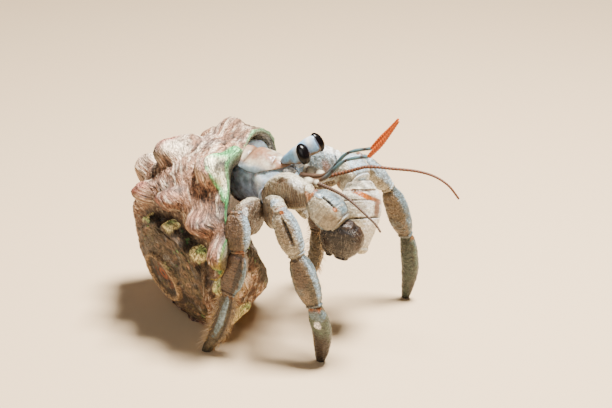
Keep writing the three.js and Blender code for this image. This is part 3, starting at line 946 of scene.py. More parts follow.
    @staticmethod
    def paint_lip(tint: Array, degrees: Array, back: Array, spots: Array, fine: Array) -> Array:
        """Adds the worn patch on the lip, pale inside a green border with a painted shadow as a dark outline
        round it, and the lip's green and yellow edge.

        Args:
            tint: Colours so far.
            degrees: Section angles in degrees.
            back: Growth back from the lip in degrees, negative.
            spots: Noise of broad spots.
            fine: Fine noise.

        Returns:
            Linear colours.
        """
        deep = 12.5
        reach = np.clip((back + deep) / deep, 0.0, 1.0)
        off = np.abs(degrees + 9.5 + reach) / (2.5 + 14.0 * reach) + 0.12 * spots
        inside = ease(1.0, 0.86, off) * (reach > 0.0)
        # Painted shadow: a dark outline round the worn patch.
        border = hump(1.1, 0.12, off + 0.05 * fine) * (reach > 0.0) * ease(1.0, 0.8, reach)
        crack = hump(0.0, 2.4, degrees + 6.0 - 0.8 * (back + 3.0) + 1.2 * fine) * ease(-7.0, -5.5, back)
        upper = ease(-2.2, -0.8, back + 1.8 * spots) * ease(6.0, 16.0, degrees)
        edge = ease(-1.5, -0.7, back + 0.3 * fine)
        rim = blend(Hue.SHELL_GREEN, Hue.SHELL_LIP, ease(-46.0, -60.0, degrees))
        return layered(
            tint,
            (Hue.SHELL_MINT, inside),
            (Hue.SHELL_GREEN, inside * ease(0.6, 0.8, off + 0.15 * fine) * 0.85),
            # painted shadow round the worn patch
            (Hue.SHELL_DARK, border * 0.7),
            (Hue.SHELL_CREAM, inside * ease(0.7, 0.3, off) * ease(-12.0, -8.0, -degrees - 4.0) * 0.8),
            (Hue.SHELL_RED, inside * ease(0.2, 0.7, fine) * ease(0.85, 0.4, off) * 0.45),
            (Hue.SHELL_DARK, inside * crack * 0.95),
            (Hue.SHELL_MINT, upper * 0.5),
            (Hue.SHELL_GREEN, upper * ease(0.0, 0.6, fine) * 0.8),
            (rim, edge * ease(12.0, -14.0, degrees) * 0.95),
        )

    @staticmethod
    def old_colour(plain: Array) -> Array:
        """Colour of the spire and the base: olive-brown, with dark and grey patches and a few green spots."""
        broad, fine, spots = fractal(plain, 3.2, 63), fractal(plain, 1.3, 67), fractal(plain, 2.2, 71)
        return layered(
            blend(Hue.SHELL_OLD, Hue.SHELL_OLIVE, 0.3 + 0.6 * broad),
            (Hue.SHELL_PINK, ease(0.3, 1.2, fine) * 0.5),
            (Hue.SHELL_GREY, ease(0.2, 0.9, fractal(plain, 2.0, 65)) * 0.6),
            (Hue.SHELL_DARK, ease(0.1, -0.8, fine) * 0.8),
            (Hue.SHELL_GREEN, ease(0.72, 0.9, spots) * 0.6),
            (Hue.SHELL_YELLOW, ease(0.85, 1.1, spots) * 0.8),
        )

    @staticmethod
    def closed(rings: Sequence[Array], tints: Sequence[Array], lies: Sequence[Array]) -> Surface:
        """Joins rings of points into one surface, drawn together to a point at each end.

        Args:
            rings: Grids of points that follow on.
            tints: Their colours.
            lies: Their lies.

        Returns:
            The closed surface.
        """
        points, tint, lie = np.concatenate(rings), np.concatenate(tints), np.concatenate(lies)
        first, last = (points[end].mean(axis=0) + np.zeros_like(points[:1]) for end in (0, -1))
        return Surface(np.concatenate([first, points, last]), np.concatenate([tint[:1], tint, tint[-1:]]),
                       np.concatenate([lie[:1], lie, lie[-1:]]))

    def whorl(self) -> Surface:
        """The last whorl: its outer face to the lip, round it, and back inside the mouth to a closed end.

        Returns:
            The surface.
        """
        points, tint, lie = self.outside(self.split, 0.0, self.whorl_grid, lambda growth: 0.3 * ease(
            self.split + 0.03, self.split, growth))
        back, around = ring_grid(np.linspace(0.0, 1.0, self.inside_rows) ** 1.6, self.whorl_grid[1])
        growth = -back * self.mouth_turn
        inset = self.lip_wall + (self.wall - self.lip_wall) * ease(0.0, math.radians(14.0), -growth)
        inside, _, _ = self.tube(around, growth, inset)
        # Painted shade: the inside of the mouth darkens deeper in.
        painted_shade_inside = blend(Hue.SHELL_NACRE, Hue.SHELL_DARK,
                         0.25 + 0.65 * ease(0.0, 0.35, back) + 0.1 * fractal(inside, 3.0, 53))
        return self.closed([points, inside], [tint, painted_shade_inside], [lie, inside * 0.3])

    def spire(self) -> Surface:
        """The earlier whorls, closed at both ends, and set a little below the last whorl where they meet."""
        points, tint, lie = self.outside(
            self.first_turn, self.split + 0.05, self.spire_grid,
            lambda growth: 0.5 * ease(self.split - 0.02, self.split + 0.02, growth))
        return self.closed([points], [tint], [lie])

    def tops(self, reach: Array, turn: Array) -> Array:
        """Depth of the highest whorl at each distance from the axis and spiral angle, or NO_WHORL.

        Args:
            reach: Distances from the axis, in millimetres.
            turn: Spiral angles, in radians.

        Returns:
            Depths below the lost tip, in millimetres.
        """
        tops, power = np.full(reach.shape, NO_WHORL), 2.0 / self.squareness
        for before in range(4):
            back = turn - FULL_TURN * before
            size = self.size(back)
            share = np.abs(reach - self.whorl_across * size) / (self.half_across * size)
            top = size * (self.whorl_down - self.half_down * np.clip(1.0 - share ** power, 0.0, 1.0)
                          ** (1.0 / power))
            tops = np.where((share < 1.0) & (back < math.radians(20.0)), np.minimum(tops, top), tops)
        return tops

    def worn_spire(self) -> Surface:
        """The face worn across the spire: a flat with a raised rim, and a rough cone crossed by the sutures.

        Its depth is the greater of the worn cone and the whorls' own tops, so it shows only where the cone
        cuts.

        Returns:
            The surface.
        """
        rows, columns = self.worn_grid
        share_out, turn = ring_grid(np.linspace(0.0, 1.0, rows) ** 0.8, columns)
        past_lip = np.degrees((turn - math.radians(27.0)) % FULL_TURN)
        reach = share_out * (14.4 + 2.5 * ease(0.0, 80.0, past_lip) * ease(360.0, 320.0, past_lip))
        flat_place = self.place(reach, self.worn(reach), turn)
        outer = ease(self.flat + 0.4, self.flat + 1.6, reach)
        spiral = hump(0.0, 1.0, reach - 9.6 * self.size(turn - FULL_TURN) - 1.0)
        relief = (0.6 * hump(self.flat - 0.1, 0.6, reach)
                  - 0.35 * ease(self.flat - 0.4, self.flat - 1.8, reach)
                  - 0.7 * hump(self.flat + 1.1, 0.6, reach) + 0.1 * fractal(flat_place, 1.2, 61)
                  + 0.45 * outer * fractal(flat_place, 3.0, 62) - 0.6 * spiral * outer)
        tops = self.tops(reach, turn)
        depth = np.maximum(self.worn(reach) - relief, np.where(tops < NO_WHORL, tops, 0.0) + 0.45)
        points = self.place(reach, depth + 1.2 * ease(0.85, 1.0, share_out), turn)
        tint, lie = self.paint_worn(reach, turn, flat_place, spiral * outer), wrapped(reach, 2.5, turn)
        back_side = np.broadcast_to(self.place(np.zeros(1), np.array([self.lost_tip + 9.0]), np.zeros(1)),
                                    points[:1].shape)
        return Surface(np.concatenate([points, back_side]), np.concatenate([tint, tint[-1:]]),
                       np.concatenate([lie, lie[-1:]]))

    def paint_worn(self, reach: Array, turn: Array, plain: Array, groove: Array) -> Array:
        """Colours of the worn face: a dark flat with a pale rim and crescent, and old shell round it, with
        painted shade in the spiral groove and in the sunk ring outside the rim.

        Args:
            reach: Distances from the axis.
            turn: Spiral angles.
            plain: Points of the worn cone.
            groove: Weight of the spiral groove.

        Returns:
            Linear colours.
        """
        crescent = hump(5.2, 0.7, reach) * ease(0.2, 0.9, np.cos(turn - math.radians(20.0)))
        disc = layered(
            blend(Hue.SHELL_DISC, Hue.SHELL_DARK, ease(-0.2, 1.0, fractal(plain, 2.4, 69)) * 0.6),
            (Hue.SHELL_ORANGE, hump(3.4, 0.5, reach + 0.6 * fractal(plain, 2.0, 73)) * 0.35),
            (Hue.BLUE_GREY, crescent * 0.7),
        )
        off_middle = np.hypot(reach * np.cos(turn) - 0.8, reach * np.sin(turn) + 0.6)
        return layered(
            self.old_colour(plain),
            # painted shade in the spiral groove
            (Hue.SHELL_DARK, groove * 0.6),
            (disc, ease(self.flat + 0.2, self.flat - 0.4, reach)),
            (Hue.SHELL_RIM, hump(self.flat - 0.1, 0.75, reach)),
            (Hue.SHELL_ORANGE, hump(1.3, 0.5, off_middle) * 0.8),
            (Hue.BLACK, hump(0.0, 0.8, off_middle) * 0.95),
            # painted shade in the sunk ring outside the rim
            (Hue.SHELL_DARK, hump(self.flat + 1.0, 0.6, reach) * 0.7),
        )

    def build(self) -> None:
        """Makes the two pieces of the shell."""
        mesh_piece("turban_shell_whorl", [self.whorl()], SHELL_FINISH, ["shell"])
        mesh_piece("turban_shell_spire", [self.spire(), self.worn_spire()], SHELL_FINISH,
                   ["shell"])


# ---------- limbs ----------

class PlateKind(Enum):
    """The plates of a leg, from the body outwards."""

    MERUS = "merus"
    CARPUS = "carpus"
    PROPODUS = "propodus"
    DACTYL = "dactyl"
    PALM = "palm"
    FINGER = "finger"


@dataclass(frozen=True)
class Palette:
    """Colours of one plate: its edges, broad faces, stains and painted shade in its hollows (both deep), rims
    and tip.
    """

    edge: Array
    face: Array
    deep: Array
    rim: Array = field(default_factory=lambda: Hue.CREAM)
    tip: Array = field(default_factory=lambda: Hue.DARK_BROWN)


@dataclass(frozen=True)
class Mark:
    """A spot, slit or ridge on a plate: an ellipse in share and angle, with a colour and a height.

    Angles are in degrees, 0 towards the plate's wide side and -90 towards the crab's right on its right
    limbs.
    """

    share: float
    angle: float
    half_share: float
    half_angle: float
    colour: Array
    strength: float = 0.85
    high: float = 0.0
    slant: float = 0.0
    soft: float = 0.6

    def weight(self, share: Array, angle: Array, wobble: Array) -> Array:
        """1 in the mark's middle, falling to 0 at its rough edge.

        Args:
            share: Shares along the plate.
            angle: Angles round it, in radians.
            wobble: Noise that roughens the edge.

        Returns:
            Weights from 0 to 1.
        """
        off = np.degrees(angle) - self.angle - self.slant * (share - self.share)
        off = (off + 180.0) % 360.0 - 180.0
        distance = ((share - self.share) / self.half_share) ** 2 + (off / self.half_angle) ** 2
        return ease(1.0, 1.0 - self.soft, distance * (1.0 + 0.45 * wobble))

    def mirrored(self) -> "Mark":
        """The same mark on the limb of the other side."""
        return replace(self, angle=-self.angle, slant=-self.slant)


SECOND_LEG = {
    PlateKind.MERUS: Palette(Hue.CREAM, Hue.TAN, Hue.BROWN),
    PlateKind.CARPUS: Palette(Hue.PALE_BLUE, Hue.CREAM, Hue.BROWN),
    PlateKind.PROPODUS: Palette(Hue.BLUE_GREY, Hue.TAN, Hue.OLIVE, Hue.BLUE_GREY),
    PlateKind.DACTYL: Palette(Hue.MOSS, Hue.FERN, Hue.OLIVE, Hue.MOSS, Hue.UMBER),
}
THIRD_LEG = {
    PlateKind.MERUS: Palette(Hue.TAN, Hue.BROWN, Hue.DARK_BROWN, Hue.TAN),
    PlateKind.CARPUS: Palette(Hue.BLUE_GREY, Hue.TAN, Hue.BROWN, Hue.TAN),
    PlateKind.PROPODUS: Palette(Hue.TAN, Hue.BROWN, Hue.DARK_BROWN, Hue.TAN),
    PlateKind.DACTYL: Palette(Hue.TAN, Hue.OLIVE, Hue.DARK_BROWN, Hue.TAN, Hue.OLIVE),
}
RIGHT_CLAW = {
    PlateKind.MERUS: Palette(Hue.CREAM, Hue.TAN, Hue.BROWN),
    PlateKind.CARPUS: Palette(Hue.BLUE_GREY, Hue.CREAM, Hue.BROWN),
    # The palm and moving finger are painted near-black: painted shade, as the carpus shades them.
    PlateKind.PALM: Palette(Hue.DARK_BROWN, Hue.UMBER, Hue.BLACK, Hue.DARK_BROWN, Hue.UMBER),
    PlateKind.FINGER: Palette(Hue.UMBER, Hue.UMBER, Hue.BLACK, Hue.DARK_BROWN, Hue.UMBER),
}
LEFT_CLAW = {
    PlateKind.MERUS: Palette(Hue.WHITE, Hue.PALE_BLUE, Hue.BROWN, Hue.WHITE),
    PlateKind.CARPUS: Palette(Hue.PALE_BLUE, Hue.IVORY, Hue.TAN, Hue.WHITE),
    PlateKind.PALM: Palette(Hue.IVORY, Hue.WHITE, Hue.CREAM, Hue.WHITE, Hue.CREAM),
    PlateKind.FINGER: Palette(Hue.IVORY, Hue.IVORY, Hue.CREAM, Hue.WHITE, Hue.CREAM),
}
PLATE_MARKS = {
    "leg3_merus": (
        Mark(0.5, 0.0, 0.5, 22.0, Hue.CREAM, 0.7, 0.12),
        Mark(0.93, 80.0, 0.10, 50.0, Hue.WHITE, 0.85),
    ),
    "leg3_carpus": (
        Mark(0.5, -10.0, 0.48, 26.0, Hue.PALE_BLUE, 0.9, 0.2, -12.0),
        Mark(0.45, -84.0, 0.42, 38.0, Hue.BROWN, 0.45, -0.12, 10.0),
        Mark(0.95, -60.0, 0.05, 45.0, Hue.ORANGE, 0.75, -0.15),
    ),
    "leg3_propodus": (
        Mark(0.46, -62.0, 0.44, 17.0, Hue.UMBER, 0.9, -0.3, -8.0),
        Mark(0.5, -30.0, 0.52, 15.0, Hue.BLUE_GREY, 1.0, 0.35, -12.0, 0.4),
        Mark(0.5, -22.0, 0.5, 7.0, Hue.PALE_BLUE, 0.8, 0.1, -12.0),
        Mark(0.45, 10.0, 0.4, 16.0, Hue.BROWN, 0.7),
    ),
    "leg3_dactyl": (
        Mark(0.3, -84.0, 0.36, 15.0, Hue.BLUE_GREY, 1.0, 0.35, -18.0, 0.4),
        Mark(0.26, -80.0, 0.26, 6.0, Hue.PALE_BLUE, 0.8, 0.1, -18.0),
        Mark(0.35, -44.0, 0.4, 16.0, Hue.DARK_BROWN, 0.6, -0.15, -10.0),
        Mark(0.4, -124.0, 0.4, 18.0, Hue.BROWN, 0.6, -0.1, -10.0),
    ),
    "leg2_merus": (
        Mark(0.86, -30.0, 0.12, 40.0, Hue.PALE_BLUE, 0.7),
        Mark(0.93, -95.0, 0.04, 26.0, Hue.ORANGE, 0.9),
        Mark(0.45, -100.0, 0.4, 24.0, Hue.BROWN, 0.5),
    ),
    "leg2_carpus": (
        Mark(0.42, -72.0, 0.34, 13.0, Hue.UMBER, 1.0, -0.5, 14.0, 0.7),
        Mark(0.4, -90.0, 0.34, 16.0, Hue.TAN, 0.7, 0.15, 14.0),
        Mark(0.4, -40.0, 0.36, 20.0, Hue.TAN, 0.5, 0.0, 14.0),
        Mark(0.06, -60.0, 0.05, 26.0, Hue.ORANGE, 0.85),
        Mark(0.96, -70.0, 0.03, 80.0, Hue.DARK_BROWN, 0.8, -0.15),
    ),
    "leg2_propodus": (
        Mark(0.34, -92.0, 0.3, 34.0, Hue.BROWN, 0.75, -0.08, 14.0, 0.8),
        Mark(0.72, -64.0, 0.2, 24.0, Hue.OLIVE, 0.7, 0.0, 0.0, 0.8),
        Mark(0.5, -24.0, 0.5, 22.0, Hue.PALE_BLUE, 0.55, 0.16),
        Mark(0.97, -80.0, 0.03, 90.0, Hue.DARK_BROWN, 0.85, -0.2),
    ),
    "leg2_dactyl": (
        Mark(0.24, -70.0, 0.22, 60.0, Hue.MOSS, 0.8),
        Mark(0.1, -70.0, 0.1, 90.0, Hue.BLUE_GREY, 0.8, 0.15),
        # Painted highlight: a small white spot.
        Mark(0.26, -86.0, 0.06, 17.0, Hue.WHITE, 1.0, 0.1, 0.0, 0.4),
        Mark(0.72, -90.0, 0.34, 180.0, Hue.DARK_BROWN, 0.9, 0.0, 0.0, 0.8),
    ),
    "claw_right_merus": (
        Mark(0.5, -10.0, 0.5, 30.0, Hue.CREAM, 0.75, 0.16),
        Mark(0.52, -46.0, 0.09, 16.0, Hue.BROWN, 0.9, -0.1, 60.0, 0.9),
        Mark(0.8, -46.0, 0.13, 36.0, Hue.WHITE, 0.65, 0.0, 0.0, 0.9),
        Mark(0.5, -112.0, 0.42, 24.0, Hue.BROWN, 0.6, 0.0, 0.0, 0.9),
        Mark(0.97, -90.0, 0.05, 36.0, Hue.ORANGE, 0.9),
    ),
    "claw_right_carpus": (
        Mark(0.40, -40.0, 0.26, 6.5, Hue.UMBER, 1.0, -0.6, -14.0, 0.8),
        Mark(0.66, -46.0, 0.08, 11.0, Hue.ORANGE, 0.85),
        Mark(0.18, -42.0, 0.12, 20.0, Hue.PALE_BLUE, 0.95, 0.25),
        # Painted highlight: a small white spot.
        Mark(0.18, -40.0, 0.05, 8.0, Hue.WHITE, 0.9, 0.1),
        Mark(0.04, -80.0, 0.05, 60.0, Hue.ORANGE, 0.7),
        Mark(0.75, -96.0, 0.2, 40.0, Hue.TAN, 0.6),
        Mark(0.97, -80.0, 0.03, 110.0, Hue.UMBER, 0.9, -0.2),
    ),
    "claw_right_palm": (
        # Painted shade: a dark brown raised strip on the shaded palm.
        Mark(0.5, 0.0, 0.4, 26.0, Hue.DARK_BROWN, 0.7, 0.12),
    ),
    "claw_left_merus": (
        Mark(0.3, -60.0, 0.16, 40.0, Hue.BROWN, 0.6, 0.0, 30.0, 0.9),
        Mark(0.7, -100.0, 0.12, 30.0, Hue.ORANGE, 0.6, 0.0, 30.0, 0.9),
    ),
    "claw_left_carpus": (
        Mark(0.3, -80.0, 0.12, 22.0, Hue.BROWN, 0.7, -0.1, 30.0, 0.9),
        Mark(0.6, -120.0, 0.1, 30.0, Hue.ORANGE, 0.7, 0.0, 30.0, 0.9),
    ),
    "claw_left_palm": (
        Mark(0.3, -150.0, 0.16, 40.0, Hue.TAN, 0.5, 0.0, 200.0, 0.9),
        Mark(0.2, -128.0, 0.12, 30.0, Hue.ORANGE, 1.0, -0.12, 530.0, 0.7),
        Mark(0.38, -84.0, 0.17, 11.0, Hue.RUST, 0.95, -0.1),
        Mark(0.13, -130.0, 0.022, 75.0, Hue.BROWN, 0.95, -0.3),
        Mark(0.26, -150.0, 0.012, 60.0, Hue.BROWN, 0.8, -0.2, 300.0),
        Mark(0.5, -128.0, 0.014, 70.0, Hue.DARK_BROWN, 1.0, -0.35, 30.0),
    ),
}


def marks_of(node: str) -> tuple[Mark, ...]:
    """The marks of a plate, which a walking leg of the left side wears in mirror image.

    Args:
        node: The plate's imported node.

    Returns:
        Its marks.
    """
    if node in PLATE_MARKS:
        return PLATE_MARKS[node]
    leg, hand, kind = node.split("_")
    marks = PLATE_MARKS.get(f"{leg}_{kind}", ())
    return marks if hand == "right" else tuple(mark.mirrored() for mark in marks)


@dataclass(frozen=True)
class Plate:
    """One hard plate of a leg: a rounded bar with scaly ridges, a rim at its far end, marks and colours.

    The lift of its skin is the sum of transverse scales, broad noise, granules, its marks' heights, a waist
    by the near joint and a collar by the far one. A dactyl has four keels in place of the waist and collar.
    """

    node: str
    kind: PlateKind
    bar: Bar
    palette: Palette
    seed: int
    scales: float = 0.11
    granules: float = 0.1
    collar: float = 0.3
    scale_spacing: float = 0.62
    hatch_spacing: float = 0.6
    rows: int = 132
    columns: int = 88

    def lift(self, share: Array, angle: Array, plain: Array) -> Array:
        """Height of the plate's relief, in millimetres.

        Args:
            share: Shares along the plate.
            angle: Angles round it.
            plain: Points of the plain bar.

        Returns:
            Heights.
        """
        drawn = wrapped(share * self.bar.length / self.scale_spacing, 2.0, angle)
        scaly = 1.0 - np.abs(fractal(drawn, 1.0, self.seed, 2))
        lift = self.scales * (scaly - 0.6) + 0.1 * fractal(plain, 2.6, self.seed + 5, 2)
        lift = lift + self.granules * lattice_noise(plain, 0.55, self.seed + 7)
        wobble = fractal(plain, 0.9, self.seed + 11, 2)
        for mark in marks_of(self.node):
            lift = lift + mark.high * mark.weight(share, angle, wobble)
        if self.kind is PlateKind.DACTYL:
            keel = np.abs(np.sin(angle * 2.0)) ** 3
            return lift * ease(1.0, 0.7, share) + 0.14 * (1.0 - keel) * ease(0.0, 0.2, share)
        collar = self.collar * (hump(0.955, 0.03, share) - 0.8 * hump(0.905, 0.02, share))
        waist = -0.35 * hump(0.07, 0.05, share)
        return lift + collar + waist

    def paint(self, share: Array, angle: Array, plain: Array, lift: Array) -> Array:
        """Colours of the plate: its palette's edges, faces and rims, painted shade in the relief's hollows
        and paler crests, then marks, tip and joints.

        The inmost plate, the merus, also has fine pale lines across its broad faces.

        Args:
            share: Shares along the plate.
            angle: Angles round it.
            plain: Points of the plain bar.
            lift: Heights of the relief.

        Returns:
            Linear colours.
        """
        cloud = fractal(plain, 3.0, self.seed + 9)
        fine = fractal(plain, 1.0, self.seed + 13, 2)
        face = ease(0.45, 0.85, np.abs(np.sin(angle)) + 0.2 * cloud)
        colours = self.palette
        coats = [
            (colours.face, face),
            (colours.deep, ease(0.1, 0.9, cloud) * 0.6 * face),
            # Painted shade: the deep colour where the relief sinks; the rim colour follows on its crests.
            (colours.deep, ease(0.0, -0.14, lift) * 0.55),
            (colours.rim, ease(0.03, 0.16, lift) * 0.4),
            (colours.deep, ease(0.35, 0.9, fine) * 0.45),
        ]
        if self.kind is PlateKind.MERUS:
            across = share * self.bar.length / self.hatch_spacing * FULL_TURN
            hatch = np.sin(across + 2.5 * fine + 3.0 * cloud)
            coats.append((Hue.CREAM, ease(0.3, 0.9, hatch) * face * 0.45))
        for mark in marks_of(self.node):
            coats.append((mark.colour, mark.weight(share, angle, fine) * mark.strength))
        if self.kind in (PlateKind.DACTYL, PlateKind.FINGER, PlateKind.PALM):
            coats.append((colours.tip, ease(0.84, 0.97, share + 0.03 * fine)))
        else:
            coats.append((colours.rim, hump(0.955, 0.03, share + 0.01 * fine) * 0.35))
        socket = hump(0.02, 0.045, share) if self.kind is not PlateKind.MERUS else hump(1.0, 0.02, share)
        joint = Hue.BROWN if self.kind in (PlateKind.PALM, PlateKind.FINGER) else Hue.ORANGE
        return layered(colours.edge, *coats, (joint, socket * ease(-0.4, 0.9, fine) * 0.9))

    def surface(self) -> Surface:
        """The plate's skin.

        Returns:
            The surface.
        """
        share, angle = ring_grid(crowded_ends(self.rows), self.columns)
        plain = self.bar.place(share, angle, np.zeros_like(share))
        lift = self.lift(share, angle, plain)
        return Surface(self.bar.place(share, angle, lift), self.paint(share, angle, plain, lift),
                       wrapped(share * 30.0, 1.2, angle))

    def roots(self, share: Array, angle: Array) -> tuple[Array, Array, Array]:
        """Places on the plate for hairs to stand on.

        Args:
            share: Their shares along the plate.
            angle: Their angles round it, in radians.

        Returns:
            Points a little below the skin, outward directions, and the plate's own direction at each.
        """
        step = 0.01
        level = np.zeros_like(share)
        here = self.bar.place(share, angle, level)
        along = self.bar.place(np.minimum(share + step, 0.999), angle, level) - here
        around = self.bar.place(share, angle + step, level) - here
        out = np.cross(around, along)
        out /= np.linalg.norm(out, axis=1, keepdims=True) + TINY
        out *= np.sign(np.sum(out * (here - self.bar.place(share, angle + math.pi, level)), axis=1,
                              keepdims=True))
        along /= np.linalg.norm(along, axis=1, keepdims=True) + TINY
        return here - UNDER_SKIN * out, out, along


@dataclass(frozen=True)
class Bristles:
    """Stiff hairs in a patch of a plate, each a thin three-sided cone bent along the plate.

    Lengths are in millimetres and angles in degrees.  The patch is given by the range of shares and by the
    middle and half-width of the range of angles.
    """

    kind: PlateKind
    count: int
    long: float
    shares: tuple[float, float]
    angle: float
    half_angle: float
    colour: Array = field(default_factory=lambda: Hue.STRAW)
    lean: float = 0.5
    spread: float = 0.2
    thick: float = 0.05
    taper: tuple[float, ...] = (0.0, 1.0, 0.8, 0.5, 0.0)
    around: int = 3

    def tufts(self, plate: Plate, hand: float, tile: int, draw: np.random.Generator) -> Surface:
        """The hairs on one plate.

        At a share s of its length a hair's middle line is root + length * (s * aim + lean * s^2 * the plate's
        direction).

        Args:
            plate: The plate they stand on.
            hand: -1 for the right side's limbs and 1 for the left's.
            tile: Number of the patch's square on the unwrap.
            draw: Random numbers.

        Returns:
            The hairs.
        """
        share = draw.uniform(*self.shares, self.count)
        angle = np.radians(-hand * (self.angle + self.half_angle * draw.uniform(-1.0, 1.0, self.count)))
        root, out, along = plate.roots(share, angle)
        aim = unit_each(out + self.spread * draw.normal(size=(self.count, 3)) + 0.25 * along)
        long = self.long * draw.uniform(0.45, 1.15, self.count)
        reach = np.linspace(0.0, 1.0, len(self.taper))
        spine = root[:, None] + long[:, None, None] * (
            aim[:, None] * reach[None, :, None] + self.lean * along[:, None] * (reach ** 2)[None, :, None])
        side = unit_each(np.cross(aim, along) + 1e-6)
        half = self.thick * np.array(self.taper)
        turn = np.linspace(0.0, FULL_TURN, self.around, endpoint=False)
        points = ringed(spine, half[None], side[:, None], np.cross(aim, side)[:, None], turn)
        pale = draw.uniform(0.0, 1.0, self.count)
        tint = blend(self.colour, Hue.WHITE, 0.35 * pale)[:, None, None] + np.zeros(points.shape)
        across = (np.degrees(angle) % 360.0) / 360.0
        roots = np.stack([(tile % 2 + across) / 2.0, (tile // 2 + share) / 2.0], axis=-1) * 0.99
        return Surface(points, tint, roots=roots)


THIRD_LEG_BRISTLES = (
    Bristles(PlateKind.PROPODUS, 60, 1.7, (0.3, 0.98), 180.0, 40.0, thick=0.06),
    Bristles(PlateKind.PROPODUS, 85, 2.6, (0.45, 0.98), 20.0, 36.0, thick=0.06),
    Bristles(PlateKind.DACTYL, 110, 2.7, (0.03, 0.8), 195.0, 45.0, thick=0.06),
    Bristles(PlateKind.DACTYL, 90, 2.0, (0.03, 0.85), 15.0, 40.0, thick=0.06),
)
SECOND_LEG_BRISTLES = (
    Bristles(PlateKind.CARPUS, 50, 0.6, (0.1, 0.95), 180.0, 50.0),
    Bristles(PlateKind.PROPODUS, 70, 0.6, (0.1, 0.95), 180.0, 50.0),
    Bristles(PlateKind.PROPODUS, 50, 0.5, (0.1, 0.95), 10.0, 40.0),
    Bristles(PlateKind.DACTYL, 90, 0.7, (0.05, 0.8), 180.0, 60.0),
)
RIGHT_CLAW_BRISTLES = (
    Bristles(PlateKind.PALM, 380, 0.5, (0.05, 0.85), -85.0, 75.0, Hue.TAN, 2.6, 0.08, 0.032),
    Bristles(PlateKind.PALM, 60, 0.7, (0.2, 0.98), 180.0, 40.0),
    Bristles(PlateKind.MERUS, 60, 0.5, (0.1, 0.95), 0.0, 26.0),
)
LEFT_CLAW_BRISTLES = (
    Bristles(PlateKind.PALM, 60, 0.5, (0.3, 0.97), 180.0, 50.0, lean=1.2),
    Bristles(PlateKind.MERUS, 50, 0.5, (0.1, 0.95), 0.0, 26.0),
)


@dataclass(frozen=True)
class Leg:
    """What all legs share: the places of their inner joints, their girth, colours and hairs."""

    name: str
    hip: Point
    root: Point
    knee: Point
    wrist: Point
    girth: float
    palettes: dict[PlateKind, Palette]
    bristles: tuple[Bristles, ...]
    seed: int

    def stout(self, halves: Sequence[float]) -> tuple[float, ...]:
        """Half-widths times the leg's girth."""
        return tuple(half * self.girth for half in halves)

    def plate(self, kind: PlateKind, ends: tuple[Point, Point], side: Point, wide: Sequence[float],
              deep: Sequence[float], bow: float = 0.0) -> Plate:
        """One hard plate of the leg.

        Args:
            kind: Which plate.
            ends: Its two joints.
            side: Rough direction of its wide way.
            wide: Half-widths along it, in millimetres.
            deep: Half-depths along it.
            bow: How far its middle bends towards its wide side.

        Returns:
            The plate.
        """
        place = list(self.palettes).index(kind)
        bar = Bar(*ends, side, tuple(wide), tuple(deep), bow, SEAT, PLATE_BLUNT, PLATE_SQUARE)
        return Plate(f"{self.name}_{kind.value}", kind, bar, self.palettes[kind], self.seed + place * 20)

    def coxa(self, wide: Sequence[float], deep: Sequence[float]) -> Bar:
        """The soft joint between the body and the leg, of those half-widths and half-depths."""
        return Bar(self.hip, self.root, UPRIGHT, self.stout(wide), self.stout(deep), seat=SEAT)


@dataclass(frozen=True)
class WalkingLeg(Leg):
    """A walking leg of four hard plates, by the places of its joints."""

    ankle: Point
    foot: Point
    meral: tuple[float, ...] = (2.6, 3.4, 3.3, 2.3)
    finish: Finish = PLATE_FINISH

    def plates(self) -> list[Plate]:
        """The leg's plates, from the body outwards."""
        rows = (
            (PlateKind.MERUS, (self.root, self.knee), UPRIGHT, self.meral, (1.6, 1.9, 1.9, 1.6)),
            (PlateKind.CARPUS, (self.knee, self.wrist), FORWARD, (2.0, 2.5, 2.5, 1.9), (1.6, 1.9, 1.9, 1.5)),
            (PlateKind.PROPODUS, (self.wrist, self.ankle), FORWARD, (2.0, 2.6, 2.6, 1.9),
             (1.5, 1.7, 1.6, 1.3)),
            (PlateKind.DACTYL, (self.ankle, self.foot), FORWARD, (1.9, 2.0, 1.85, 1.5, 0.9),
             (1.3, 1.4, 1.3, 1.05, 0.75), 1.2),
        )
        return [self.plate(kind, ends, side, self.stout(wide), self.stout(deep), *bow)
                for kind, ends, side, wide, deep, *bow in rows]

    def joint(self) -> Bar:
        """The walking leg's coxa."""
        return self.coxa((2.9, 2.3, 2.3), (2.6, 2.0, 1.9))


@dataclass(frozen=True)
class ClawLeg(Leg):
    """A leg that carries a claw: two plates, the palm with its fixed finger, and the moving finger."""

    palm_side: Point
    tips: Point
    palm_wide: tuple[float, ...]
    palm_deep: tuple[float, ...]
    hinge: Point
    finger_tip: Point
    finish: Finish = CLAW_FINISH

    def plates(self) -> list[Plate]:
        """The leg's plates, from the body outwards. The claw's own size doesn't follow the leg's girth."""
        return [
            self.plate(PlateKind.MERUS, (self.root, self.knee), UPRIGHT, self.stout((2.8, 4.1, 4.3, 3.0)),
                       self.stout((1.7, 2.2, 2.3, 2.0)), 1.4),
            self.plate(PlateKind.CARPUS, (self.knee, self.wrist), UPRIGHT, self.stout((2.6, 3.9, 4.3, 3.7)),
                       self.stout((2.2, 3.0, 3.2, 2.8))),
            self.plate(PlateKind.PALM, (self.wrist, self.tips), self.palm_side, self.palm_wide,
                       self.palm_deep),
            self.plate(PlateKind.FINGER, (self.hinge, self.finger_tip), self.palm_side, (1.9, 1.9, 1.5, 0.7),
                       (1.7, 1.6, 1.2, 0.6)),
        ]

    def joint(self) -> Bar:
        """The claw leg's coxa."""
        return self.coxa((3.0, 2.5, 2.3), (2.6, 2.1, 1.9))


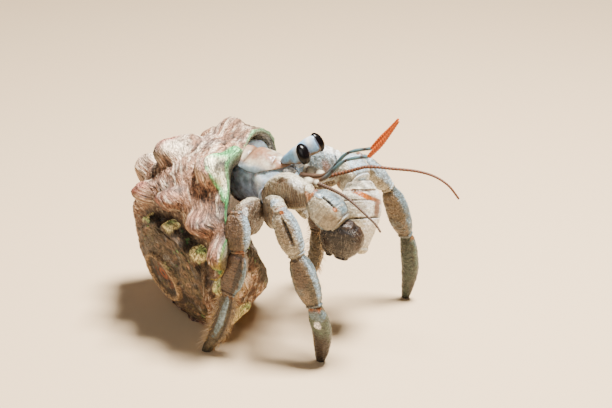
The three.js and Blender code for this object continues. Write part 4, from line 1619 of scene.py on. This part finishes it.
@dataclass(frozen=True)
class Limbs:
    """All the crab's hard limbs: two claw legs and four walking legs."""

    legs: tuple[Union[ClawLeg, WalkingLeg], ...] = (
        ClawLeg("claw_right", (8.5, -3.6, 37.5), (10.4, -7.8, 39.4), (23.8, -10.0, 42.6),
                (31.2, -10.0, 36.8), 1.0, RIGHT_CLAW, RIGHT_CLAW_BRISTLES, 100, FORWARD, (30.2, -8.0, 26.8),
                (4.0, 5.2, 5.2, 3.8, 1.6), (2.5, 3.0, 2.9, 2.0, 0.9), (27.0, -8.8, 32.4), (26.8, -7.6, 27.0)),
        ClawLeg("claw_left", (8.5, 3.6, 37.5), (11.0, 8.0, 39.4), (22.0, 11.5, 43.0),
                (27.8, 8.4, 39.2), 1.15, LEFT_CLAW, LEFT_CLAW_BRISTLES, 200, SIDEWAYS, (31.0, 2.6, 23.6),
                (5.2, 6.8, 6.3, 4.2, 1.6), (3.6, 4.2, 3.8, 2.5, 1.1), (30.0, 8.8, 31.2), (30.8, 4.8, 24.0)),
        WalkingLeg("leg2_right", (7.6, -4.0, 35.0), (10.6, -7.0, 35.4), (18.0, -16.0, 39.8),
                   (22.4, -16.0, 29.1), 1.18, SECOND_LEG, SECOND_LEG_BRISTLES, 300, (27.0, -16.0, 16.4),
                   (26.3, -11.6, -0.8)),
        WalkingLeg("leg2_left", (7.6, 4.0, 35.0), (11.5, 8.0, 36.0), (23.5, 17.0, 42.5),
                   (30.0, 22.5, 33.0), 1.1, SECOND_LEG, SECOND_LEG_BRISTLES, 400, (33.5, 26.0, 18.8),
                   (32.5, 28.5, -0.8)),
        WalkingLeg("leg3_right", (5.0, -3.6, 33.6), (7.6, -7.0, 33.0), (6.8, -17.0, 37.4),
                   (8.3, -19.0, 28.4), 1.15, THIRD_LEG, THIRD_LEG_BRISTLES, 500, (5.1, -19.0, 17.0),
                   (-1.9, -19.2, -0.8), (3.2, 4.0, 3.7, 2.5)),
        WalkingLeg("leg3_left", (5.0, 3.6, 33.6), (8.0, 7.4, 33.0), (9.5, 17.0, 38.5),
                   (10.5, 21.0, 28.0), 1.0, THIRD_LEG, THIRD_LEG_BRISTLES, 600, (9.0, 24.0, 16.5),
                   (4.5, 26.0, -0.8)),
    )
    hair_seed: int = 29

    def build(self) -> None:
        """Makes a piece of each hard plate, and one of each leg's bristles."""
        draw = np.random.default_rng(self.hair_seed)
        for leg in self.legs:
            hand = 1.0 if leg.name.endswith("left") else -1.0
            plates = {plate.kind: plate for plate in leg.plates()}
            for kind, plate in plates.items():
                clawed = isinstance(leg, ClawLeg) and kind is not PlateKind.MERUS
                mesh_piece(f"{plate.node}_plate", [plate.surface()], leg.finish,
                           [plate.node])
            hairs = [patch.tufts(plates[patch.kind], hand, tile, draw)
                     for tile, patch in enumerate(leg.bristles)]
            mesh_piece(f"{leg.name}_bristles", hairs, BRISTLE_FINISH, [])


# ---------- head ----------

@dataclass(frozen=True)
class Feeler:
    """A thin tube along a smooth curve through named places, ringed by fine grooves.

    The curve is a cubic through the places with parameters spaced by the square root of their distances.
    """

    node: str
    route: tuple[Point, ...]
    thick: tuple[float, ...]
    bands: int
    first: Array
    second: Array
    slot: str = "brown_feeler"
    base: Array = field(default_factory=lambda: Hue.BROWN)
    base_share: float = 0.0
    band_rows: int = 6
    sideways: Point = (0.12, 0.99, 0.08)

    def curve(self, share: Array) -> Array:
        """Points of the curve at shares of its parameter.

        Args:
            share: Shares from 0 to 1.

        Returns:
            Points in millimetres.
        """
        places = np.array(self.route, float)
        places = np.concatenate([[2 * places[0] - places[1]], places, [2 * places[-1] - places[-2]]])
        steps = np.linalg.norm(np.diff(places, axis=0), axis=1) ** 0.5
        slopes = (np.diff(places[:-1], axis=0) / steps[:-1, None]
                  + np.diff(places[1:], axis=0) / steps[1:, None]
                  - (places[2:] - places[:-2]) / (steps[:-1] + steps[1:])[:, None])
        knots = np.concatenate([[0.0], np.cumsum(steps[1:-1])])
        reach = np.clip(share, 0.0, 1.0) * knots[-1]
        span = np.clip(np.searchsorted(knots, reach, side="right") - 1, 0, len(knots) - 2)
        width = steps[1:-1][span]
        step = ((reach - knots[span]) / width)[..., None]
        start, end = places[1:-1][span], places[1:-1][span + 1]
        rise, fall = slopes[span] * width[..., None], slopes[span + 1] * width[..., None]
        return (start * (2 * step ** 3 - 3 * step ** 2 + 1) + rise * (step ** 3 - 2 * step ** 2 + step)
                + end * (3 * step ** 2 - 2 * step ** 3) + fall * (step ** 3 - step ** 2))

    def surface(self, around: int = 14) -> Surface:
        """The feeler's skin, drawn to a point at each end.

        Args:
            around: Points round a ring.

        Returns:
            The surface.
        """
        share = np.linspace(0.0, 1.0, self.bands * self.band_rows + 1)
        spine = self.curve(share)
        ahead = unit_each(np.gradient(spine, axis=0))
        side = unit_each(np.cross(ahead, np.array(self.sideways)))
        band = np.cos(share * self.bands * FULL_TURN)
        half = listed(self.thick, share) * (1.0 + 0.10 * band)
        half[[0, -1]] = 0.0
        angle = np.linspace(0.0, FULL_TURN, around, endpoint=False)
        points = ringed(spine, half, side, np.cross(ahead, side), angle)
        near_root = ease(self.base_share + 0.1, self.base_share - 0.1, share) * (self.base_share > 0.0)
        tint = blend(blend(self.first, self.second, ease(-0.2, -0.9, band)), self.base, near_root)
        return Surface(points, np.repeat(tint[:, None], around, axis=1))


@dataclass(frozen=True)
class PairedPart:
    """A part that the head has on both sides: a bar, given for the left side, with plain noise on its skin.

    Its paint gives colours from the share along it, the angle round it and the noise.
    """

    piece: str
    node: str
    slot: str
    finish: Finish
    bar: Bar
    rows: int
    columns: int
    lift: float
    grain: float
    seed: int
    paint: Callable[[Array, Array, Array], Array]

    def build(self, side: Side) -> None:
        """Makes the part on one side.

        Args:
            side: Which side.
        """
        bar = self.bar.mirrored(side)
        share, angle = ring_grid(crowded_ends(self.rows), self.columns)
        noise = fractal(bar.place(share, angle, np.zeros_like(share)), self.grain, self.seed)
        surface = Surface(bar.place(share, angle, self.lift * noise), self.paint(share, angle, noise))
        mesh_piece(f"{self.piece}_{side.word}", [surface], self.finish,
                   [f"{self.node}_{side.word}"])


def eye_colours(share: Array, angle: Array, noise: Array) -> Array:
    """Glossy black, with a brown rim where the eye leaves its stalk."""
    return blend(Hue.BLACK, Hue.DARK_BROWN, ease(0.4, 1.0, noise) * 0.3 + 0.7 * ease(0.2, 0.05, share))


def stalk_colours(share: Array, angle: Array, noise: Array) -> Array:
    """Pale blue above, grey-brown below, and dark where the stalk meets the eye."""
    upward = np.cos(angle)
    return layered(
        blend(Hue.SKY, Hue.TAN, ease(-0.1, -0.7, upward + 0.3 * noise)),
        (Hue.WHITE, hump(0.8, 0.12, share + 0.03 * noise) * ease(-0.5, 0.4, upward) * 0.8),
        (Hue.BROWN, ease(-0.6, -0.95, upward) * 0.8),
        (Hue.BLUE_GREY, ease(0.3, 0.0, share) * 0.5),
        (Hue.DARK_BROWN, ease(0.95, 0.99, share) * 0.9),
    )


def scale_colours(share: Array, angle: Array, noise: Array) -> Array:
    """White, with tan patches."""
    return blend(Hue.WHITE, Hue.TAN, ease(0.0, 1.0, noise) * 0.6)


def mouth_colours(share: Array, angle: Array, noise: Array) -> Array:
    """Cream, with brown bands at the joints."""
    bands = hump(0.35, 0.04, share) + hump(0.7, 0.04, share)
    return blend(Hue.CREAM, Hue.BROWN, bands * 0.8 + 0.4 * ease(0.1, 0.9, noise))


PAIRED_PARTS = (
    PairedPart("cornea", "eye", "eye_gloss", EYE_FINISH,
               Bar((17.1, 3.7, 49.8), (19.4, 4.6, 51.2), UPRIGHT, (2.3, 2.6, 2.2), (1.3, 1.6, 1.3), blunt=0.7,
                   square=0.85), 60, 56, 0.01, 0.4, 721, eye_colours),
    PairedPart("stalk", "eyestalk", "eyestalk", STALK_FINISH,
               Bar((11.4, 1.5, 46.4), (18.9, 3.2, 50.9), UPRIGHT, (0.9, 1.6, 2.3, 2.7), (0.9, 1.2, 1.4, 1.5),
                   blunt=0.3), 80, 56, 0.05, 1.4, 731, stalk_colours),
    PairedPart("stalk_scale", "eye_scale", "claw_plate", CLAW_FINISH,
               Bar((12.4, 2.4, 44.4), (15.6, 2.7, 44.9), SIDEWAYS, (0.9, 1.1, 0.7), (0.8, 0.9, 0.6)),
               40, 30, 0.06, 0.8, 741, scale_colours),
    PairedPart("mouth", "mouth_leg", "leg_plate", PLATE_FINISH,
               Bar((13.5, 1.6, 38.4), (18.2, 1.8, 32.6), SIDEWAYS, (1.1, 1.3, 0.9), (1.2, 1.3, 0.9)),
               60, 36, 0.1, 1.0, 751, mouth_colours),
)


@dataclass(frozen=True)
class Head:
    """Eyes on their stalks, feelers, mouth legs and the hard shield over the front of the back."""

    shield_rear: float = -3.0
    shield_front: float = 13.6
    half_wide: float = 5.6
    front_wide: float = 3.4
    shield_top: float = 48.0
    shield_nose: float = 46.6
    shield_thick: float = 1.5
    shield_droop: float = 3.4
    rows: int = 90
    columns: int = 120

    def shield(self) -> Surface:
        """The shield: a thin plate, domed across, with a raised margin, grooves and rust-brown patches, and
        painted shade in the grooves and in a dark brown patch low on each side.

        At a share s from front to rear its half-width rises from the front's to the widest, times
        sin(pi s)^0.35, and its skin falls away to both sides by the square of the distance from the middle.

        Returns:
            The surface.
        """
        share, angle = ring_grid(crowded_ends(self.rows), self.columns)
        dome = np.sin(share * math.pi) ** 0.35
        half = (self.front_wide + (self.half_wide - self.front_wide) * np.minimum(share * 2.2, 1.0)) * dome
        y = signed_power(np.cos(angle), 0.8) * half
        sag = self.shield_droop * (y / self.half_wide) ** 2
        rise = signed_power(np.sin(angle), 0.8) * self.shield_thick / 2.0 * np.minimum(dome * 1.2, 1.0)
        x = self.shield_front + (self.shield_rear - self.shield_front) * share
        middle = (self.shield_nose + (self.shield_top - self.shield_nose) * ease(0.0, 0.5, share)
                  - self.shield_thick / 2.0)
        top = ease(0.0, 0.5, np.sin(angle))
        across = y / self.half_wide
        plain = np.stack([x, y, middle - sag + rise], axis=-1)
        noise = fractal(plain, 2.4, 701)
        groove = hump(0.62 + 0.14 * across ** 2, 0.035, share) + 0.7 * hump(0.25, 0.03, share) * (
            np.abs(across) > 0.25)
        lift = top * (0.16 * noise - 0.4 * groove + 0.25 * ease(0.80, 0.95, np.abs(across)))
        points = plain + np.array(UPRIGHT) * lift[..., None]
        smudge = fractal(plain * np.array([1.0, 0.4, 1.0]), 2.0, 711)
        return Surface(points, layered(
            blend(Hue.CREAM, Hue.SHELL_PINK, ease(-0.7, 0.6, noise)),
            (Hue.RUST, ease(-0.1, 0.7, smudge) * 0.6),
            # Painted shade: brown in the grooves.
            (Hue.BROWN, np.clip(groove, 0.0, 1.0) * 0.8),
            (Hue.BLUE_GREY, ease(0.66, 0.95, np.abs(across) + 0.1 * noise) * 0.9),
            (Hue.WHITE, ease(0.4, 1.0, -noise) * 0.6 * top),
            # Painted shade: a dark brown patch low on each side, a little behind the front.
            (Hue.DARK_BROWN, hump(0.3, 0.12, share) * ease(0.74, 0.95, np.abs(across)) * 0.7),
        ))

    @staticmethod
    def feelers() -> list[Feeler]:
        """Both pairs of feelers: each has a stalk and a whip.

        Returns:
            The feelers, stalks before whips.
        """
        stalk = {"thick": (0.66, 0.52, 0.42, 0.42), "bands": 5, "first": Hue.TEAL,
                 "second": Hue.DARK_BROWN, "base_share": 0.42}
        flag = {"thick": (0.5, 0.66, 0.45, 0.26), "bands": 16, "first": Hue.VIVID, "second": Hue.ORANGE,
                "slot": "orange_feeler"}
        root = {"thick": (1.5, 1.4, 1.1, 0.8), "bands": 3, "first": Hue.CREAM, "second": Hue.BROWN}
        whip = {"thick": (0.5, 0.4, 0.32, 0.26), "second": Hue.DARK_BROWN}
        return [
            Feeler("antennule_right_stalk", (
                (14.5, -1.2, 42.4), (21.5, -1.2, 43.2), (27.8, -1.0, 49.2), (34.3, -1.0, 51.5)), **stalk),
            Feeler("antennule_left_stalk", (
                (14.5, 1.2, 42.4), (21.5, 1.2, 43.6), (27.4, 1.4, 50.2), (34.0, 1.6, 52.6)), **stalk),
            Feeler("antennule_right_whip", (
                (33.9, -1.0, 51.3), (37.8, -1.0, 56.2), (41.4, -1.0, 61.6)), **flag),
            Feeler("antennule_left_whip", (
                (33.6, 1.6, 52.4), (37.6, 1.4, 57.4), (40.4, 1.3, 61.2)), **flag),
            Feeler("antenna_right_stalk", (
                (14.5, -4.2, 42.6), (18.5, -4.4, 43.4), (22.6, -4.2, 43.6)), **root),
            Feeler("antenna_left_stalk", (
                (14.5, 4.2, 42.6), (18.3, 4.0, 42.2), (21.6, 3.0, 42.2)), **root),
            Feeler("antenna_right_whip", (
                (22.0, -4.3, 43.6), (26.2, -5.8, 43.5), (29.2, -7.0, 43.3), (33.2, -9.0, 42.7),
                (37.0, -10.0, 40.7), (40.0, -10.5, 38.7), (41.5, -11.0, 37.2)),
                bands=34, first=Hue.BROWN, **whip),
            Feeler("antenna_left_whip", (
                (21.1, 3.1, 42.2), (27.0, 4.5, 44.4), (30.8, 5.5, 45.7), (36.7, 7.0, 45.7),
                (43.3, 8.0, 45.7), (47.6, 8.0, 45.1), (51.0, 8.0, 43.4), (53.8, 8.0, 40.4)),
                bands=46, first=Hue.RUST, **whip),
        ]

    def build(self) -> None:
        """Makes the pieces of the head."""
        mesh_piece("back_shield", [self.shield()], SHIELD_FINISH, ["shield"])
        for side in Side:
            for part in PAIRED_PARTS:
                part.build(side)
        for feeler in self.feelers():
            mesh_piece(f"{feeler.node}_tube", [feeler.surface()], FEELER_FINISH, [feeler.node])


# ---------- soft skin ----------

@dataclass(frozen=True)
class SoftSkin:
    """One skin over the trunk, the belly in the shell's mouth, the roots of the legs and the fourth legs."""

    limbs: Limbs
    shell: TurbanShell
    trunk: Bar = Bar((-4.0, 1.0, 38.4), (15.2, 0.0, 40.6), SIDEWAYS, (5.0, 6.0, 6.2, 5.8, 3.6),
                     (6.0, 6.4, 6.6, 6.0, 4.0))
    belly_deep: float = math.radians(92.0)
    fourth_leg: Bar = Bar((2.4, 5.0, 33.2), (5.0, 10.5, 27.4), FORWARD, (1.5, 1.6, 1.1), (1.2, 1.3, 0.9))

    def wrinkled(self, bar: Bar, rows: int, columns: int, folds: float, spacing: float, seed: int) -> Surface:
        """A bar with creases across it.

        Args:
            bar: The plain bar.
            rows: Rings.
            columns: Points a ring.
            folds: Depth of the creases in millimetres.
            spacing: Distance between them.
            seed: Picks their wander.

        Returns:
            The skin, coloured.
        """
        share, angle = ring_grid(crowded_ends(rows), columns)
        plain = bar.place(share, angle, np.zeros_like(share))
        creases = fractal(wrapped(share * bar.length / spacing, 1.4, angle), 1.0, seed, 2)
        points = bar.place(share, angle, folds * (np.abs(creases) - 0.5))
        return Surface(points, self.paint(plain, creases))

    @staticmethod
    def paint(plain: Array, creases: Array) -> Array:
        """Colours of the skin: blue-grey, paler higher up; painted shade, purple-brown, below and in the
        creases;
        painted highlights, white glints, on the folds.

        Args:
            plain: Points in millimetres.
            creases: Fold noise.

        Returns:
            Linear colours.
        """
        height = plain[..., 2] + 1.5 * fractal(plain, 3.0, 811)
        return layered(
            # Painted shade: purple-brown towards the bottom.
            blend(Hue.PURPLE, Hue.SKIN, ease(33.5, 37.5, height)),
            (Hue.PALE_BLUE, ease(38.0, 43.0, height) * 0.6),
            # Painted highlights: white glints on the folds.
            (Hue.WHITE, ease(0.5, 1.0, np.abs(creases)) * 0.6),
            # Painted shade: purple in the creases.
            (Hue.PURPLE, ease(0.1, 0.0, np.abs(creases)) * 0.45),
        )

    def belly(self) -> Surface:
        """The belly: the whorl's own section, a little inside the shell's wall, closed at both ends.

        Returns:
            The surface, coloured as skin.
        """
        share, around = ring_grid(np.linspace(0.0, 1.0, 46), 90)
        section = self.shell.section_of(around)
        lip = self.shell.lip_turn(section)
        last = lip * 0.45 - math.radians(26.0) - lip
        growth = -self.belly_deep + (last + self.belly_deep) * share
        creases = fractal(wrapped(share * 9.0, 1.6, around), 1.0, 821)
        points, _, _ = self.shell.tube(around, growth, self.shell.wall + 0.5 + 0.3 * np.abs(creases))
        ends = [ring.mean(axis=1, keepdims=True) + np.zeros_like(ring) for ring in (points[:1], points[-1:])]
        closing = np.linspace(0.06, 0.94, 12)[:, None, None]
        inward = points[-1:] * (1.0 - closing) + ends[1] * closing
        points = np.concatenate([ends[0], points, inward, ends[1]])
        wide = np.concatenate([creases[:1], creases, np.repeat(creases[-1:], len(closing) + 1, axis=0)])
        return Surface(points, self.paint(points, wide))

    def build(self) -> None:
        """Makes the one piece of skin."""
        surfaces = [self.wrinkled(self.trunk, 120, 110, 0.5, 4.2, 801), self.belly()]
        nodes = ["body", "abdomen"]
        for place, leg in enumerate(self.limbs.legs):
            surfaces.append(self.wrinkled(leg.joint(), 44, 44, 0.3, 1.1, 830 + place))
            nodes.append(f"{leg.name}_coxa")
        for side in Side:
            surfaces.append(self.wrinkled(self.fourth_leg.mirrored(side), 44, 36, 0.2, 1.0, 850))
            nodes.append(f"leg4_{side.word}")
        mesh_piece("soft_skin", surfaces, SKIN_FINISH, nodes)


# ---------- studio ----------

@dataclass(frozen=True)
class Lamp:
    """A square area light that faces the crab, by place and side in metres, watts and linear colour."""

    name: str
    spot: Point
    size: float
    power: float
    colour: Point

    def build(self, target: Point) -> None:
        """Adds the light, facing the target.

        Args:
            target: The lit place, in metres.
        """
        data = bpy.data.lights.new(self.name, "AREA")
        data.size, data.energy, data.color = self.size, self.power, self.colour
        lamp = bpy.data.objects.new(self.name, data)
        lamp.location = self.spot
        lamp.rotation_euler = (Vector(self.spot) - Vector(target)).to_track_quat("Z", "Y").to_euler()
        bpy.context.scene.collection.objects.link(lamp)


@dataclass(frozen=True)
class Studio:
    """Floor, lights and camera.

    The camera's place and lens are in millimetres; the lights, the floor and the seen range are in metres.
    """

    turn: float = math.radians(25.0)
    rise: float = math.radians(24.0)
    distance: float = 425.0
    aim: Point = (-15.6, -14.5, 15.5)
    slide: float = 35.75
    climb: float = 18.0
    lens: float = 100.0
    sensor: float = 36.0
    seen: tuple[float, float] = (0.01, 20.0)
    lamps: tuple[Lamp, ...] = (Lamp("key", (0.09, 0.03, 0.46), 0.12, 11.5, (1.0, 0.96, 0.9)),
                               Lamp("front", (0.02, -0.42, 0.30), 0.28, 0.8, (1.0, 0.96, 0.92)))
    lit_place: Point = (0.0, 0.0, 0.025)
    sky_colour: tuple[float, ...] = (1.0, 0.95, 0.88, 1.0)
    sky_strength: float = 0.06
    floor_half: float = 4.0
    floor_roughness: float = 0.9

    def axes(self) -> tuple[Array, Array, Array]:
        """Right, up and backward directions of the camera.

        Returns:
            Three unit vectors.
        """
        level = math.cos(self.rise)
        back = np.array([math.sin(self.turn) * level, -math.cos(self.turn) * level, math.sin(self.rise)])
        right = np.array([math.cos(self.turn), math.sin(self.turn), 0.0])
        return right, np.cross(back, right), back

    def camera(self) -> None:
        """Sets the camera from its turn, rise and distance."""
        right, upward, back = self.axes()
        spot = (np.array(self.aim) + self.slide * right + self.climb * upward + self.distance * back + SHIFT)
        data = bpy.data.cameras.new("camera")
        data.lens, data.sensor_width = self.lens, self.sensor
        data.clip_start, data.clip_end = self.seen
        data.dof.use_dof = False
        camera = bpy.data.objects.new("camera", data)
        columns = [Vector(direction) for direction in (right, upward, back)]
        turned = Matrix(columns).transposed().to_4x4()
        camera.matrix_world = Matrix.Translation(Vector(spot * MILLIMETRE)) @ turned
        bpy.context.scene.collection.objects.link(camera)
        bpy.context.scene.camera = camera

    def floor(self) -> None:
        """A plain pale floor."""
        half = self.floor_half
        mesh = bpy.data.meshes.new("floor")
        mesh.from_pydata([(-half, -half, 0), (half, -half, 0), (half, half, 0), (-half, half, 0)], [],
                         [(0, 1, 2, 3)])
        ground = bpy.data.objects.new("floor", mesh)
        bpy.context.scene.collection.objects.link(ground)
        made = bpy.data.materials.new("floor")
        made.use_nodes = True
        shader = made.node_tree.nodes["Principled BSDF"]
        shader.inputs["Base Color"].default_value = (*Hue.FLOOR, 1.0)
        shader.inputs["Roughness"].default_value = self.floor_roughness
        mesh.materials.append(made)

    def build(self) -> None:
        """Sets up all of the studio."""
        world = bpy.data.worlds.new("studio")
        bpy.context.scene.world = world
        world.use_nodes = True
        sky = world.node_tree.nodes["Background"]
        sky.inputs["Color"].default_value = self.sky_colour
        sky.inputs["Strength"].default_value = self.sky_strength
        self.floor()
        for lamp in self.lamps:
            lamp.build(self.lit_place)
        self.camera()


def main() -> None:
    """Builds the crab in its shell, then the studio."""
    logging.basicConfig(level=logging.INFO, format="%(name)s: %(message)s")
    shell, limbs = TurbanShell(), Limbs()
    shell.build()
    limbs.build()
    Head().build()
    SoftSkin(limbs, shell).build()
    Studio().build()


if __name__ == "__main__":
    main()
